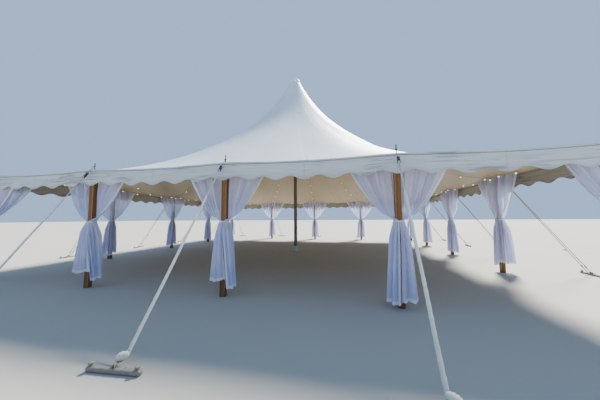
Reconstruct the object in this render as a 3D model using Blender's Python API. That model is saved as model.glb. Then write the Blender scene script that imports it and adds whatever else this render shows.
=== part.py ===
"""White pole tent, four bays square, on sixteen side poles and one centre pole.

Metres, +Z up. The origin is on the ground under the peak, and the front side faces -Y.
Each side runs from a corner pole, past three side poles, to the next corner pole.
"""
import math

import bmesh
import bpy
import numpy as np
from mathutils import Matrix, Vector

# Clearance between pieces that touch
GAP = 0.0003

# Plan and heights of the tent
BAY = 3.048               # from one side pole to the next
BAYS = 4                  # bays along each side
EAVE_HEIGHT = 2.44        # top of the roof's edge at a pole
CROWN_HEIGHT = 7.49       # top of the roof at the crown ring
CROWN_RADIUS = 0.22       # the roof's round opening at the crown
OVERHANG = 0.065          # from a side pole's middle to the roof's edge

# Roof
ROOF_DROP = 0.012         # thickness of the roof, measured straight down
BAND_WIDTH = 0.185        # plain band along the edge, over the pole heads
BAND_SLOPE = 0.12         # rise of the band for each metre inwards
STRAIGHT_SHARE = 0.65     # share of the roof's rise that is a straight slope
CURVE_RATE = 4.5          # how fast the rest of the rise gathers at the crown
SQUARE_RATE = 9.0         # how late the round crown opens out to the square edge
EDGE_SAG = 0.035          # droop of the edge halfway between two poles
POLE_SEAT = 0.2           # level stretch of the edge on each side of a pole
SAG_STEPS = 3             # straight pieces of the edge in each drooping stretch
ROOF_ROWS = 9             # rows of faces from the crown to the band

# Valance
VALANCE_DEPTH = 0.33
VALANCE_THICKNESS = 0.005
SCALLOPS = 6              # waves of the lower edge in each bay
SCALLOP_RISE = 0.07       # from a wave's low point to its high point
SCALLOP_STEPS = 6         # straight pieces of the edge in each wave

# Side poles, square posts with a steel pin on top
POST_WIDTH = 0.102
POST_CHAMFER = 0.012
POST_END = 0.008          # height of the bevel at the foot and the head
PIN_RADIUS = 0.0095
PIN_RISE = 0.17           # the pin's top over the roof's edge
PIN_SIDES = 8             # as many as the post's outline has corners
PIN_HOLE_CLEARANCE = 0.004

# Centre pole, with a foot plate and a pin through the crown ring's hub
CENTRE_RADIUS = 0.072
CENTRE_SIDES = 12
FOOT_WIDTH = 0.36
FOOT_THICKNESS = 0.02
CENTRE_PIN_RADIUS = 0.018
CENTRE_PIN_RISE = 0.06    # the pin's top over the hub

# Crown ring: a rim joined to a hub by four spokes, under a domed cap
RIM_HEIGHT = 0.06
RIM_THICKNESS = 0.012
HUB_RADIUS = 0.08
SPOKE_WIDTH = 0.04
SPOKE_THICKNESS = 0.015
SPOKES = 4
CAP_RADIUS = 0.226
CAP_RISE = 0.222
CAP_WALL = 0.012
CAP_LIFT = 0.015          # straight skirt under the dome
CAP_ROWS = 4
ROUND_SIDES = 24

# Leg drapes, two panels from the eave to a tie and a skirt round the pole
PANEL_REACH = 0.87        # a panel's outer corner from the pole's middle
PANEL_THICKNESS = 0.036
PANEL_INSET = 0.012       # from the pole's face to the panel's inner edge
PANEL_CURVE = 1.65        # the outer edge's height grows with this power of its reach
PANEL_STEPS = 4
TIE_HEIGHT = 1.37
TIE_DEPTH = 0.07          # height of the gathered neck
NECK_RADIUS = 0.105
HEM_HEIGHT = 0.2
HEM_HALF_WIDTH = 0.23
HEM_HALF_DEPTH = 0.19
SKIRT_SIDES = 12
SKIRT_ROWS = 3

# Guy lines, from an eye on the pin to a stake bar on the ground
GUY_REACH = 1.86          # from a pole's middle to its stake bar, outwards
LONG_REACH = 2.19         # the same for two guys of the front, and of the back
SWING_SECOND = 0.059      # those two swing towards each other, in radians
SWING_THIRD = -0.046
LINE_INSET = 0.16         # from the stake bar's middle in to a line's lower end
GUY_LOW = 0.105           # height of a line's lower end
STRAP_RADIUS = 0.009
EYE_WALL = 0.016
EYE_HEIGHT = 0.026
EDGE_CLEARANCE = 0.004    # a line clears the roof's edge by this
RATCHET_START = 0.07      # along the line, as a share of its length
RATCHET_LENGTH = 0.15
RATCHET_WIDTH = 0.05
RATCHET_THICKNESS = 0.036
SLEEVE_START = 0.31       # along the line, as a share of its length
SLEEVE_RADIUS = 0.019
BALL_RADIUS = 0.058       # the tucked end of the sleeve
STRAND_RADIUS = 0.007
STRAND_SPREAD_TOP = 0.016
STRAND_SPREAD_LOW = 0.05
BAR_LENGTH = 0.56
BAR_WIDTH = 0.055
BAR_HEIGHT = 0.045
STAKE_RADIUS = 0.014
STAKE_HEAD_RADIUS = 0.022
STAKE_RISE = 0.115        # a stake's top over the ground
STAKE_HEAD_HEIGHT = 0.02
STAKE_PLACES = (-0.24, 0.24)
TUBE_SIDES = 6

# Worked out from the sizes above
HALF = BAY * BAYS / 2
EDGE = HALF + OVERHANG
BAND = EDGE - BAND_WIDTH
BAND_TOP = EAVE_HEIGHT + BAND_WIDTH * BAND_SLOPE
VALANCE_INNER = EDGE + GAP
VALANCE_OUTER = VALANCE_INNER + VALANCE_THICKNESS
SIDES = ("front", "right", "back", "left")
CORNERS = ("front_left", "front_right", "back_right", "back_left")
LONG_GUYS = {"front_2": SWING_SECOND, "front_3": SWING_THIRD,
             "back_2": SWING_SECOND, "back_3": SWING_THIRD}


def material(name, colour, roughness, metallic=0.0):
    """A Principled material with one colour."""
    made = bpy.data.materials.new(name)
    made.use_nodes = True
    shader = made.node_tree.nodes["Principled BSDF"]
    shader.inputs["Base Color"].default_value = (*colour, 1.0)
    shader.inputs["Roughness"].default_value = roughness
    shader.inputs["Metallic"].default_value = metallic
    return made


def mesh_from(name, verts, faces):
    """A mesh with its faces turned outwards."""
    mesh = bpy.data.meshes.new(name)
    shape = bmesh.new()
    corners = [shape.verts.new(v) for v in verts]
    for face in faces:
        shape.faces.new([corners[i] for i in face])
    bmesh.ops.recalc_face_normals(shape, faces=shape.faces)
    shape.to_mesh(mesh)
    shape.free()
    return mesh


def loft(name, rings):
    """A closed solid through rings that have the same number of points."""
    count = len(rings[0])
    verts = [point for ring in rings for point in ring]
    faces = [tuple(reversed(range(count)))]
    for level in range(len(rings) - 1):
        low = level * count
        for i in range(count):
            j = (i + 1) % count
            faces.append((low + i, low + j, low + count + j, low + count + i))
    last = (len(rings) - 1) * count
    faces.append(tuple(range(last, last + count)))
    return mesh_from(name, verts, faces)


def loop_of(name, rings):
    """A closed ring-shaped solid: the rings go round a hole, and the last joins the first."""
    count = len(rings[0])
    verts = [point for ring in rings for point in ring]
    faces = []
    for level in range(len(rings)):
        low = level * count
        high = (level + 1) % len(rings) * count
        for i in range(count):
            j = (i + 1) % count
            faces.append((low + i, low + j, high + j, high + i))
    return mesh_from(name, verts, faces)


def circle(radius, z, sides):
    """Points of a level circle round the Z axis."""
    turns = [2 * math.pi * (i + 0.5) / sides for i in range(sides)]
    return [(radius * math.cos(a), radius * math.sin(a), z) for a in turns]


def turned(name, profile, sides):
    """A ring-shaped solid turned from a closed profile of (radius, z) points."""
    return loop_of(name, [circle(radius, z, sides) for radius, z in profile])


def tube(name, start, end, radius, sides=TUBE_SIDES):
    """A straight round bar between two points."""
    start, end = Vector(start), Vector(end)
    turn = (end - start).to_track_quat("Z", "Y").to_matrix()
    flat = [Vector(point) for point in circle(radius, 0.0, sides)]
    return loft(name, [[tuple(centre + turn @ p) for p in flat] for centre in (start, end)])


def block(name, centre, size, turn=None):
    """A box, turned about its middle if a rotation matrix is given."""
    half = Vector(size) / 2
    turn = turn or Matrix.Identity(3)
    signs = ((-1, -1), (1, -1), (1, 1), (-1, 1))
    rings = [[tuple(Vector(centre) + turn @ Vector((x * half.x, y * half.y, z * half.z)))
              for x, y in signs] for z in (-1, 1)]
    return loft(name, rings)


def fused(name, solids, cuts=()):
    """One closed mesh: the overlapping solids joined, less the cuts."""
    helpers = []
    for mesh in (*solids, *cuts):
        helper = bpy.data.objects.new(name + "_helper", mesh)
        bpy.context.scene.collection.objects.link(helper)
        helpers.append(helper)
    base = helpers[0]
    for index, helper in enumerate(helpers[1:], start=1):
        step = base.modifiers.new("step", "BOOLEAN")
        step.object = helper
        step.solver = "EXACT"
        step.operation = "UNION" if index < len(solids) else "DIFFERENCE"
    seen = base.evaluated_get(bpy.context.evaluated_depsgraph_get())
    mesh = bpy.data.meshes.new_from_object(seen)
    mesh.name = name
    mesh.materials.clear()
    for helper in helpers:
        bpy.data.objects.remove(helper)
    return mesh


def place(name, mesh, finish, at=(0.0, 0.0, 0.0), quarter_turns=0, smooth=None):
    """A named object that stands at a point, turned by quarter turns about Z."""
    thing = bpy.data.objects.new(name, mesh)
    bpy.context.scene.collection.objects.link(thing)
    thing.location = at
    thing.rotation_euler = (0.0, 0.0, quarter_turns * math.pi / 2)
    if not mesh.materials:
        mesh.materials.append(finish)
    if smooth is not None:
        mesh.shade_smooth()
        mesh.set_sharp_from_angle(angle=math.radians(smooth))
    return thing


def edge_columns():
    """Places along a side where the roof's edge bends, from corner to corner."""
    places = [-EDGE]
    for bay in range(BAYS):
        start = -HALF + bay * BAY + POLE_SEAT
        end = start + BAY - 2 * POLE_SEAT
        places += list(np.linspace(start, end, SAG_STEPS + 1))
    return np.array(places + [EDGE])


def sag_at_columns():
    """Droop of the roof's edge at each of its columns: none at a pole."""
    drops = [0.0]
    for _ in range(BAYS):
        share = np.linspace(0.0, 1.0, SAG_STEPS + 1)
        drops += list(4 * EDGE_SAG * share * (1 - share))
    return np.array(drops + [0.0])


def edge_sag(along):
    """Droop of the roof's edge at a place along a side."""
    return float(np.interp(along, edge_columns(), sag_at_columns()))


def roof_top(out, along):
    """Height of the roof's top on the edge band, at a distance out from the centre."""
    return EAVE_HEIGHT + BAND_SLOPE * (EDGE - out) - edge_sag(along)


def roof_underside(out, along):
    """Height of the roof's lower face on the edge band."""
    return roof_top(out, along) - ROOF_DROP


def crown_share(t):
    """The roof's rise, 1 at the crown ring and 0 at the band."""
    gathered = (math.exp(-CURVE_RATE * t) - math.exp(-CURVE_RATE)) / (1 - math.exp(-CURVE_RATE))
    return STRAIGHT_SHARE * (1 - t) + (1 - STRAIGHT_SHARE) * gathered


def roof_rows():
    """Rows of points of the front roof panel's top, from the crown to the edge.

    The rows crowd at the crown and at the band, where the roof bends most.
    """
    columns = edge_columns()
    sags = sag_at_columns()
    inner = np.clip(columns, -BAND, BAND)
    turns = np.arctan2(inner, BAND)
    rows = []
    for row in range(ROOF_ROWS + 1):
        t = (1 - math.cos(math.pi * row / ROOF_ROWS)) / 2
        round_radius = CROWN_RADIUS + (BAND - CROWN_RADIUS) * t
        radius = round_radius * (1 + t ** SQUARE_RATE * (1 / np.cos(turns) - 1))
        height = BAND_TOP + (CROWN_HEIGHT - BAND_TOP) * crown_share(t)
        rows.append(np.stack([radius * np.sin(turns), -radius * np.cos(turns),
                              height - sags * t ** SQUARE_RATE], axis=1))
    rows.append(np.stack([columns, np.full_like(columns, -EDGE), EAVE_HEIGHT - sags], axis=1))
    for points in rows:
        points[0, 0] += GAP / math.sqrt(2)
        points[-1, 0] -= GAP / math.sqrt(2)
    return rows


def roof_panel_mesh():
    """One quarter of the roof, from hip to hip, with holes for the pins."""
    rows = roof_rows()
    count = len(rows[0])
    top = [tuple(point) for points in rows for point in points]
    low = [(x, y, z - ROOF_DROP) for x, y, z in top]
    under = len(top)
    faces = []
    for row in range(len(rows) - 1):
        for i in range(count - 1):
            a, b = row * count + i, row * count + i + 1
            c, d = b + count, a + count
            faces.append((a, b, c, d))
            faces.append((under + d, under + c, under + b, under + a))
    last = (len(rows) - 1) * count
    for i in range(count - 1):
        faces.append((i + 1, i, under + i, under + i + 1))
        faces.append((last + i, last + i + 1, under + last + i + 1, under + last + i))
    for row in range(len(rows) - 1):
        for i in (0, count - 1):
            a, b = row * count + i, (row + 1) * count + i
            faces.append((a, b, under + b, under + a))
    sheet = mesh_from("roof_panel", top + low, faces)
    reach = EAVE_HEIGHT + PIN_RISE
    holes = [tube("pin_hole", (along, -HALF, EAVE_HEIGHT - PIN_RISE), (along, -HALF, reach),
                  PIN_RADIUS + PIN_HOLE_CLEARANCE) for along in pole_places()]
    return fused("roof_panel", [sheet], holes)


def pole_places():
    """Places of the poles along a side, from corner to corner."""
    return [-HALF + BAY * i for i in range(BAYS + 1)]


def valance_mesh():
    """The strip that hangs from the front edge, with a wavy lower edge.

    It starts behind the strip of the side before it, and covers the end of the next.
    """
    wave = BAY / SCALLOPS
    steps = BAYS * SCALLOPS * SCALLOP_STEPS
    outline = []
    for along in (-EDGE, *np.linspace(-HALF, HALF, steps + 1), VALANCE_OUTER):
        rise = SCALLOP_RISE * (1 - math.cos(2 * math.pi * along / wave)) / 2
        outline.append((along, EAVE_HEIGHT - edge_sag(along) - VALANCE_DEPTH + rise))
    for along in (VALANCE_OUTER, *edge_columns()[-2:0:-1], -EDGE):
        outline.append((along, EAVE_HEIGHT - edge_sag(along)))
    return loft("valance", [[(x, -out, z) for x, z in outline]
                            for out in (VALANCE_OUTER, VALANCE_INNER)])


def post_ring(width, chamfer, z):
    """Level outline of a square post with cut corners."""
    half, short = width / 2, width / 2 - chamfer
    return [(short, -half, z), (half, -short, z), (half, short, z), (short, half, z),
            (-short, half, z), (-half, short, z), (-half, -short, z), (-short, -half, z)]


def pin_ring(radius, z):
    """Level outline of the pin, point for point with the post's outline."""
    turns = [2 * math.pi * (i - 1.5) / PIN_SIDES for i in range(PIN_SIDES)]
    return [(radius * math.cos(a), radius * math.sin(a), z) for a in turns]


def post_top():
    """Height of a side pole's head, which the roof's band rests on."""
    return roof_underside(HALF + POST_WIDTH / 2, 0.0) - GAP


def side_pole_mesh():
    """A side pole on its foot, with the pin that goes up through the roof."""
    top = post_top()
    small = POST_WIDTH - 2 * POST_END
    pin_top = EAVE_HEIGHT + PIN_RISE
    rings = [post_ring(small, POST_CHAMFER, 0.0),
             post_ring(POST_WIDTH, POST_CHAMFER, POST_END),
             post_ring(POST_WIDTH, POST_CHAMFER, top),
             pin_ring(PIN_RADIUS, top),
             pin_ring(PIN_RADIUS, pin_top - PIN_RADIUS),
             pin_ring(PIN_RADIUS / 2, pin_top)]
    return loft("side_pole", rings)


def rim_radius():
    """Outer radius of the crown ring, just inside the roof's faceted opening."""
    turns = np.arctan2(np.clip(edge_columns(), -BAND, BAND), BAND)
    widest = float(np.max(np.diff(turns)))
    return CROWN_RADIUS * math.cos(widest / 2) - GAP


def hub_underside():
    """Height of the lower face of the crown ring, which the centre pole carries."""
    return CROWN_HEIGHT - RIM_HEIGHT


def crown_ring_mesh():
    """The ring that the roof's top edge is clamped to, with a hub on four spokes."""
    low = hub_underside()
    outer, inner = rim_radius(), rim_radius() - RIM_THICKNESS
    rim = turned("rim", [(inner, low), (outer, low), (outer, CROWN_HEIGHT), (inner, CROWN_HEIGHT)],
                 ROUND_SIDES)
    hub = loft("hub", [circle(HUB_RADIUS, low, ROUND_SIDES),
                       circle(HUB_RADIUS, low + SPOKE_THICKNESS, ROUND_SIDES)])
    spokes = []
    for spoke in range(SPOKES // 2):
        turn = Matrix.Rotation(math.pi * 2 * spoke / SPOKES, 3, "Z")
        length = 2 * (inner + RIM_THICKNESS / 2)
        spokes.append(block("spoke", (0, 0, low + SPOKE_THICKNESS / 2),
                            (length, SPOKE_WIDTH, SPOKE_THICKNESS), turn))
    bore = tube("bore", (0, 0, low - RIM_HEIGHT), (0, 0, CROWN_HEIGHT), CENTRE_PIN_RADIUS + GAP,
                CENTRE_SIDES)
    return fused("crown_ring", [rim, *spokes, hub], [bore])


def peak_cap_mesh():
    """The domed cap over the crown ring, open below."""
    low = CROWN_HEIGHT + GAP
    spring = low + CAP_LIFT
    profile_out, profile_in = [(CAP_RADIUS, low)], [(CAP_RADIUS - CAP_WALL, low)]
    for row in range(CAP_ROWS):
        turn = math.pi / 2 * row / CAP_ROWS
        rise = CAP_RISE - CAP_LIFT
        profile_out.append((CAP_RADIUS * math.cos(turn), spring + rise * math.sin(turn)))
        profile_in.append(((CAP_RADIUS - CAP_WALL) * math.cos(turn),
                           spring + (rise - CAP_WALL) * math.sin(turn)))
    outer = [circle(radius, z, ROUND_SIDES) for radius, z in profile_out]
    inner = [circle(radius, z, ROUND_SIDES) for radius, z in profile_in]
    rings = [*reversed(outer), *inner]
    return loft("peak_cap", rings)


def centre_pole_mesh():
    """The centre pole on its foot plate, with the pin that the crown ring sits on."""
    top = hub_underside() - GAP
    plate = block("foot", (0, 0, FOOT_THICKNESS / 2), (FOOT_WIDTH, FOOT_WIDTH, FOOT_THICKNESS))
    shaft = loft("shaft", [circle(CENTRE_RADIUS, 0.0, CENTRE_SIDES),
                           circle(CENTRE_RADIUS, top, CENTRE_SIDES),
                           circle(CENTRE_PIN_RADIUS, top, CENTRE_SIDES),
                           circle(CENTRE_PIN_RADIUS, top + SPOKE_THICKNESS + CENTRE_PIN_RISE,
                                  CENTRE_SIDES)])
    return fused("centre_pole", [shaft, plate])


def drape_panel(name, heading):
    """One panel of a leg drape: flat on a line out from the pole, wide at the eave.

    The heading turns the panel from +X about the pole's middle.
    """
    face = POST_WIDTH / 2 + PANEL_INSET
    out = HALF + PANEL_THICKNESS / 2
    foot = TIE_HEIGHT - TIE_DEPTH / 2
    top = roof_underside(out, 0.0) - GAP
    outline = [(face, foot)]
    for step in range(PANEL_STEPS + 1):
        share = step / PANEL_STEPS
        reach = NECK_RADIUS + (PANEL_REACH - NECK_RADIUS) * share
        outline.append((reach, foot + (top - foot) * share ** PANEL_CURVE))
    outline[-1] = (PANEL_REACH, top - edge_sag(PANEL_REACH))
    outline.append((POLE_SEAT, top))
    outline.append((face, top))
    turn = Matrix.Rotation(heading, 3, "Z")
    rings = [[tuple(turn @ Vector((x, side * PANEL_THICKNESS / 2, z))) for x, z in outline]
             for side in (1, -1)]
    return loft(name, rings)


def drape_skirt():
    """The gathered neck at the tie, and the skirt that opens out below it."""
    neck_low = TIE_HEIGHT - TIE_DEPTH
    rings = []
    for row in range(SKIRT_ROWS + 1):
        share = row / SKIRT_ROWS
        spread = math.sin((1 - share) * math.pi / 2)
        wide = NECK_RADIUS + (HEM_HALF_WIDTH - NECK_RADIUS) * spread
        deep = NECK_RADIUS + (HEM_HALF_DEPTH - NECK_RADIUS) * spread
        z = HEM_HEIGHT + (neck_low - HEM_HEIGHT) * share
        rings.append([(x * wide, y * deep, z) for x, y, _ in circle(1.0, 0.0, SKIRT_SIDES)])
    rings.append(circle(NECK_RADIUS, TIE_HEIGHT, SKIRT_SIDES))
    return loft("skirt", rings)


def drape_mesh(name, headings):
    """A leg drape with a panel on each heading, open in the middle for the pole."""
    panels = [drape_panel("panel", heading) for heading in headings]
    hole = loft("pole_hole", [post_ring(POST_WIDTH + 2 * GAP, POST_CHAMFER, z)
                              for z in (0.0, EAVE_HEIGHT)])
    return fused(name, [drape_skirt(), *panels], [hole])


def guy_top(reach):
    """Height of a guy line at the pin, so that it clears the roof's edge."""
    rise = EAVE_HEIGHT + EDGE_CLEARANCE - GUY_LOW
    line_reach = reach - LINE_INSET
    slant = math.hypot(1.0, rise / line_reach)
    at_edge = EAVE_HEIGHT + EDGE_CLEARANCE + STRAP_RADIUS * slant
    share = (VALANCE_OUTER - HALF) / line_reach
    return (at_edge - GUY_LOW * share) / (1 - share)


def guy_eye(reach):
    """The eye that drops over a side pole's pin."""
    inner = PIN_RADIUS + GAP
    outer = inner + EYE_WALL
    low = point_along(reach, 0.0).z - EYE_HEIGHT / 2
    high = low + EYE_HEIGHT
    return turned("eye", [(inner, low), (outer, low), (outer, high), (inner, high)], PIN_SIDES)


def turned_copy(mesh, heading):
    """The mesh, turned about the Z axis."""
    mesh.transform(Matrix.Rotation(heading, 4, "Z"))
    return mesh


def stake_bar(reach):
    """The stake bar on the ground, with the heads of its stakes, outwards along -Y."""
    bar = block("bar", (0, -reach, BAR_HEIGHT / 2), (BAR_LENGTH, BAR_WIDTH, BAR_HEIGHT))
    parts = [bar]
    for along in STAKE_PLACES:
        low = BAR_HEIGHT / 2
        neck = STAKE_RISE - STAKE_HEAD_HEIGHT
        profile = ((STAKE_RADIUS, low), (STAKE_RADIUS, neck), (STAKE_HEAD_RADIUS, neck),
                   (STAKE_HEAD_RADIUS, STAKE_RISE))
        rings = [[(x + along, y - reach, z) for x, y, z in circle(radius, height, TUBE_SIDES)]
                 for radius, height in profile]
        parts.append(loft("stake", rings))
    return parts


def line_start():
    """How far out from the pin's middle a line leaves the eye."""
    return PIN_RADIUS + GAP + EYE_WALL / 2


def point_along(reach, share, sideways=0.0):
    """A point on the guy line, 0 at the pin and 1 at its lower end."""
    line_reach, top = reach - LINE_INSET, guy_top(reach)
    out = line_start() + (line_reach - line_start()) * share
    return Vector((sideways, -out, top + (GUY_LOW - top) * out / line_reach))


def sleeved_line(reach):
    """A strap with its ratchet, then the sleeve down to its tucked end."""
    start, end = point_along(reach, 0.0), point_along(reach, 1.0)
    away = end - start
    turn = away.to_track_quat("Z", "X").to_matrix()
    ratchet_middle = start + away * RATCHET_START + away.normalized() * RATCHET_LENGTH / 2
    strap = tube("strap", start, end, STRAP_RADIUS)
    ratchet = block("ratchet", ratchet_middle, (RATCHET_THICKNESS, RATCHET_WIDTH, RATCHET_LENGTH),
                    turn)
    sleeve = tube("sleeve", point_along(reach, SLEEVE_START), end, SLEEVE_RADIUS)
    ball_rows = 5
    rings = []
    for row in range(ball_rows + 1):
        turn_up = math.pi * (row + 0.5) / (ball_rows + 1) - math.pi / 2
        rings.append([tuple(end + Vector(point)) for point in
                      circle(BALL_RADIUS * math.cos(turn_up), BALL_RADIUS * math.sin(turn_up), TUBE_SIDES)])
    ball = loft("ball", rings)
    foot = tube("foot", end, (0, -reach, BAR_HEIGHT / 2), STRAP_RADIUS)
    return [strap, ratchet, sleeve, ball, foot]


def strand_line(reach):
    """Two strands of rope side by side, down to the stake bar."""
    strands = []
    for side in (-1, 1):
        start = point_along(reach, 0.0, side * STRAND_SPREAD_TOP / 2)
        low = Vector((side * STRAND_SPREAD_LOW, -reach, BAR_HEIGHT / 2))
        strands.append(tube("strand", start, low, STRAND_RADIUS))
    return strands


def guy_mesh(name, reach, lines):
    """A guy: one eye, and for each line its make and its heading from -Y."""
    solids = [guy_eye(reach)]
    for make, heading in lines:
        solids += [turned_copy(part, heading) for part in (*stake_bar(reach), *make(reach))]
    return fused(name, solids)


def build_roof(vinyl, edging):
    """The four roof panels and the four valances."""
    panel = roof_panel_mesh()
    strip = valance_mesh()
    for turns, side in enumerate(SIDES):
        place("roof_" + side, panel, vinyl, quarter_turns=turns, smooth=30)
        place("valance_" + side, strip, edging, quarter_turns=turns, smooth=30)


def build_crown(steel, vinyl, wood):
    """The centre pole, the crown ring and the cap."""
    place("centre_pole", centre_pole_mesh(), wood, smooth=40)
    place("crown_ring", crown_ring_mesh(), steel, smooth=40)
    place("peak_cap", peak_cap_mesh(), vinyl, smooth=50)


def side_stations():
    """Name, place and quarter turns of each pole between the corners."""
    for turns, side in enumerate(SIDES):
        turn = Matrix.Rotation(turns * math.pi / 2, 3, "Z")
        for number, along in enumerate(pole_places()[1:-1], start=1):
            yield f"{side}_{number}", turn @ Vector((along, -HALF, 0.0)), turns


def corner_stations():
    """Name, place and quarter turns of each corner pole, the front left one first."""
    for turns, corner in enumerate(CORNERS):
        turn = Matrix.Rotation(turns * math.pi / 2, 3, "Z")
        yield corner, turn @ Vector((-HALF, -HALF, 0.0)), turns


def build_side_poles(wood):
    """The sixteen side poles."""
    post = side_pole_mesh()
    for name, at, turns in (*side_stations(), *corner_stations()):
        place("side_pole_" + name, post, wood, at, turns, smooth=30)


def build_drapes(sheer):
    """A leg drape on every side pole."""
    straight = drape_mesh("drape", (0.0, math.pi))
    corner = drape_mesh("drape_corner", (0.0, math.pi / 2))
    for name, at, turns in side_stations():
        place("drape_" + name, straight, sheer, at, turns, smooth=30)
    for name, at, turns in corner_stations():
        place("drape_" + name, corner, sheer, at, turns, smooth=30)


def build_guys(cover, rope):
    """A guy on every side pole: sleeved along the front, bare rope elsewhere."""
    outwards, aside = 0.0, -math.pi / 2
    sleeved = guy_mesh("guy_sleeved", GUY_REACH, [(sleeved_line, outwards)])
    bare = guy_mesh("guy_bare", GUY_REACH, [(strand_line, outwards)])
    for name, at, turns in side_stations():
        front = name.startswith("front")
        mesh = sleeved if front else bare
        if name in LONG_GUYS:
            make = sleeved_line if front else strand_line
            mesh = guy_mesh("guy_" + name, LONG_REACH, [(make, LONG_GUYS[name])])
        place("guy_" + name, mesh, cover if front else rope, at, turns, 30)
    makes = {"front_left": (sleeved_line, strand_line), "front_right": (strand_line, sleeved_line),
             "back_right": (strand_line, strand_line), "back_left": (strand_line, strand_line)}
    for name, at, turns in corner_stations():
        first, second = makes[name]
        mesh = guy_mesh("guy_" + name, GUY_REACH, [(first, outwards), (second, aside)])
        place("guy_" + name, mesh, cover if sleeved_line in makes[name] else rope, at, turns, 30)


def main():
    """Builds the whole tent in an empty scene."""
    for thing in list(bpy.data.objects):
        bpy.data.objects.remove(thing)
    vinyl = material("roof_vinyl", (0.86, 0.87, 0.88), 0.45)
    edging = material("valance_vinyl", (0.80, 0.82, 0.85), 0.5)
    post_wood = material("post_wood", (0.33, 0.14, 0.05), 0.5)
    mast_wood = material("mast_wood", (0.24, 0.16, 0.10), 0.5)
    steel = material("galvanised_steel", (0.55, 0.56, 0.56), 0.4, 1.0)
    sheer = material("sheer_drape", (0.85, 0.86, 0.93), 0.8)
    cover = material("guy_cover", (0.82, 0.82, 0.80), 0.7)
    rope = material("guy_rope", (0.55, 0.43, 0.27), 0.8)
    build_roof(vinyl, edging)
    build_crown(steel, vinyl, mast_wood)
    build_side_poles(post_wood)
    build_drapes(sheer)
    build_guys(cover, rope)


main()
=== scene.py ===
# %% [markdown]
# # A white pole marquee
# The frame holds a tent as a maker would draw it: sixteen side poles, a centre pole,
# four roof panels, valances, leg drapes and guys, each one a plain solid. This lesson
# dresses those solids. Cloth gets its folds, wood its grain and steel its wear, and
# every new piece stays where the frame has the piece it stands for.

# %% The frame
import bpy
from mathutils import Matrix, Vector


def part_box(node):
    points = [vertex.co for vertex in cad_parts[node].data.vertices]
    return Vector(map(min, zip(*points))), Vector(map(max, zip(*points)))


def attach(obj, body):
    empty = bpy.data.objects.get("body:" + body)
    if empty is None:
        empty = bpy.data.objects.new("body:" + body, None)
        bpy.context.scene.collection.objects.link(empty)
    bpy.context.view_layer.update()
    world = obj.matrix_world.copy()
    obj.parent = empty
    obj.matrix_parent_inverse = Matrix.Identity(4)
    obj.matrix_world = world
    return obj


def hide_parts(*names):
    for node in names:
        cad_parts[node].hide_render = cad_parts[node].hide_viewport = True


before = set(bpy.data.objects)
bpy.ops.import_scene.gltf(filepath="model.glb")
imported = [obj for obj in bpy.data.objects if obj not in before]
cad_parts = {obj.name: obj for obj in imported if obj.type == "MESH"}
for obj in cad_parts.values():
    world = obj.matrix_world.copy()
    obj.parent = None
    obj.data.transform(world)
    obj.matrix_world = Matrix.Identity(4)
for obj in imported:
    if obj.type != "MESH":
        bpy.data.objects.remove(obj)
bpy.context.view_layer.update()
print("the frame has", len(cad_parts), "pieces")

# %% Modules
import math

import bmesh
import bpy
import numpy as np
from mathutils import Matrix, Vector

# %% [markdown]
# ## Where the camera stands
# The photograph was taken with a wide lens from just outside the front, a little to the
# right of the middle, at the height of the eye. The poles are evenly spaced, so their
# places in the picture give the camera's place, its turn and its lens.

# %% Camera
STAND = (2.262, -10.202, 1.4015)       # in metres from the tent's middle
PAN, TILT, ROLL = 11.41, 94.35, -0.29  # in degrees
lens = bpy.data.cameras.new("front_view")
lens.sensor_width, lens.lens, lens.clip_end = 36.0, 14.4, 500.0
camera = bpy.data.objects.new("front_view", lens)
bpy.context.scene.collection.objects.link(camera)
pan, tilt, roll = (Matrix.Rotation(math.radians(angle), 4, axis)
                   for angle, axis in ((PAN, "Z"), (TILT, "X"), (ROLL, "Z")))
camera.matrix_world = Matrix.Translation(STAND) @ pan @ tilt @ roll
bpy.context.scene.camera = camera
print("the camera is", round(camera.location.length, 2), "m from the tent's middle")

# %% [markdown]
# ## Sizes the frame was drawn with
# A scene reads nothing but the frame, so the few sizes that the new pieces share are
# written out here. The box of one roof panel shows that they still agree with the frame.

# %% Sizes
BAY, BAYS = 3.048, 4              # from pole to pole, and how often on a side
HALF = BAY * BAYS / 2             # from the middle to a row of side poles
EDGE, BAND = HALF + 0.065, HALF - 0.12  # from the middle to the plain band's two edges
EAVE, BAND_SLOPE = 2.44, 0.12     # height of the roof's edge, and the band's rise a metre
BAND_TOP = EAVE + (EDGE - BAND) * BAND_SLOPE
CROWN, CROWN_RADIUS = 7.49, 0.22
STRAIGHT, CURVE_RATE, SQUARE_RATE = 0.65, 4.5, 9  # how the roof's slope and plan change
SAG, SEAT = 0.035, 0.2            # droop of the edge, and its level stretch at a pole
POST = 0.102
VINYL = 0.0025
SIDES = ("front", "right", "back", "left")
CORNERS = ("front_left", "front_right", "back_right", "back_left")
roof_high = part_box("roof_front")[1]
print("edge", round(roof_high.x - EDGE, 4), "and crown", round(roof_high.z - CROWN, 4), "off by")

# %% Stations
def quarter(turns, size=4):
    """A rotation by quarter turns about the tent's middle."""
    return Matrix.Rotation(turns * math.pi / 2, size, "Z")


def stations():
    """Each side pole's name, and the matrix that sets a piece on it, facing outwards."""
    places = [(f"{side}_{number}", turns, number - 2)
              for turns, side in enumerate(SIDES) for number in (1, 2, 3)]
    places += [(corner, turns, -2) for turns, corner in enumerate(CORNERS)]
    return {name: quarter(turns) @ Matrix.Translation((bays * BAY, -HALF, 0.0))
            for name, turns, bays in places}


STATIONS = stations()
print(len(STATIONS), "side poles")

# %% [markdown]
# ## Node trees from Python expressions
# A finish is a little sum: dirt times noise, plus a seam, less some wear. Wiring that by
# hand hides the sum, so one small class wraps a socket and turns + - * / into Math nodes.
# The same class serves Geometry Nodes, where a Math node works on every point.

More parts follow.
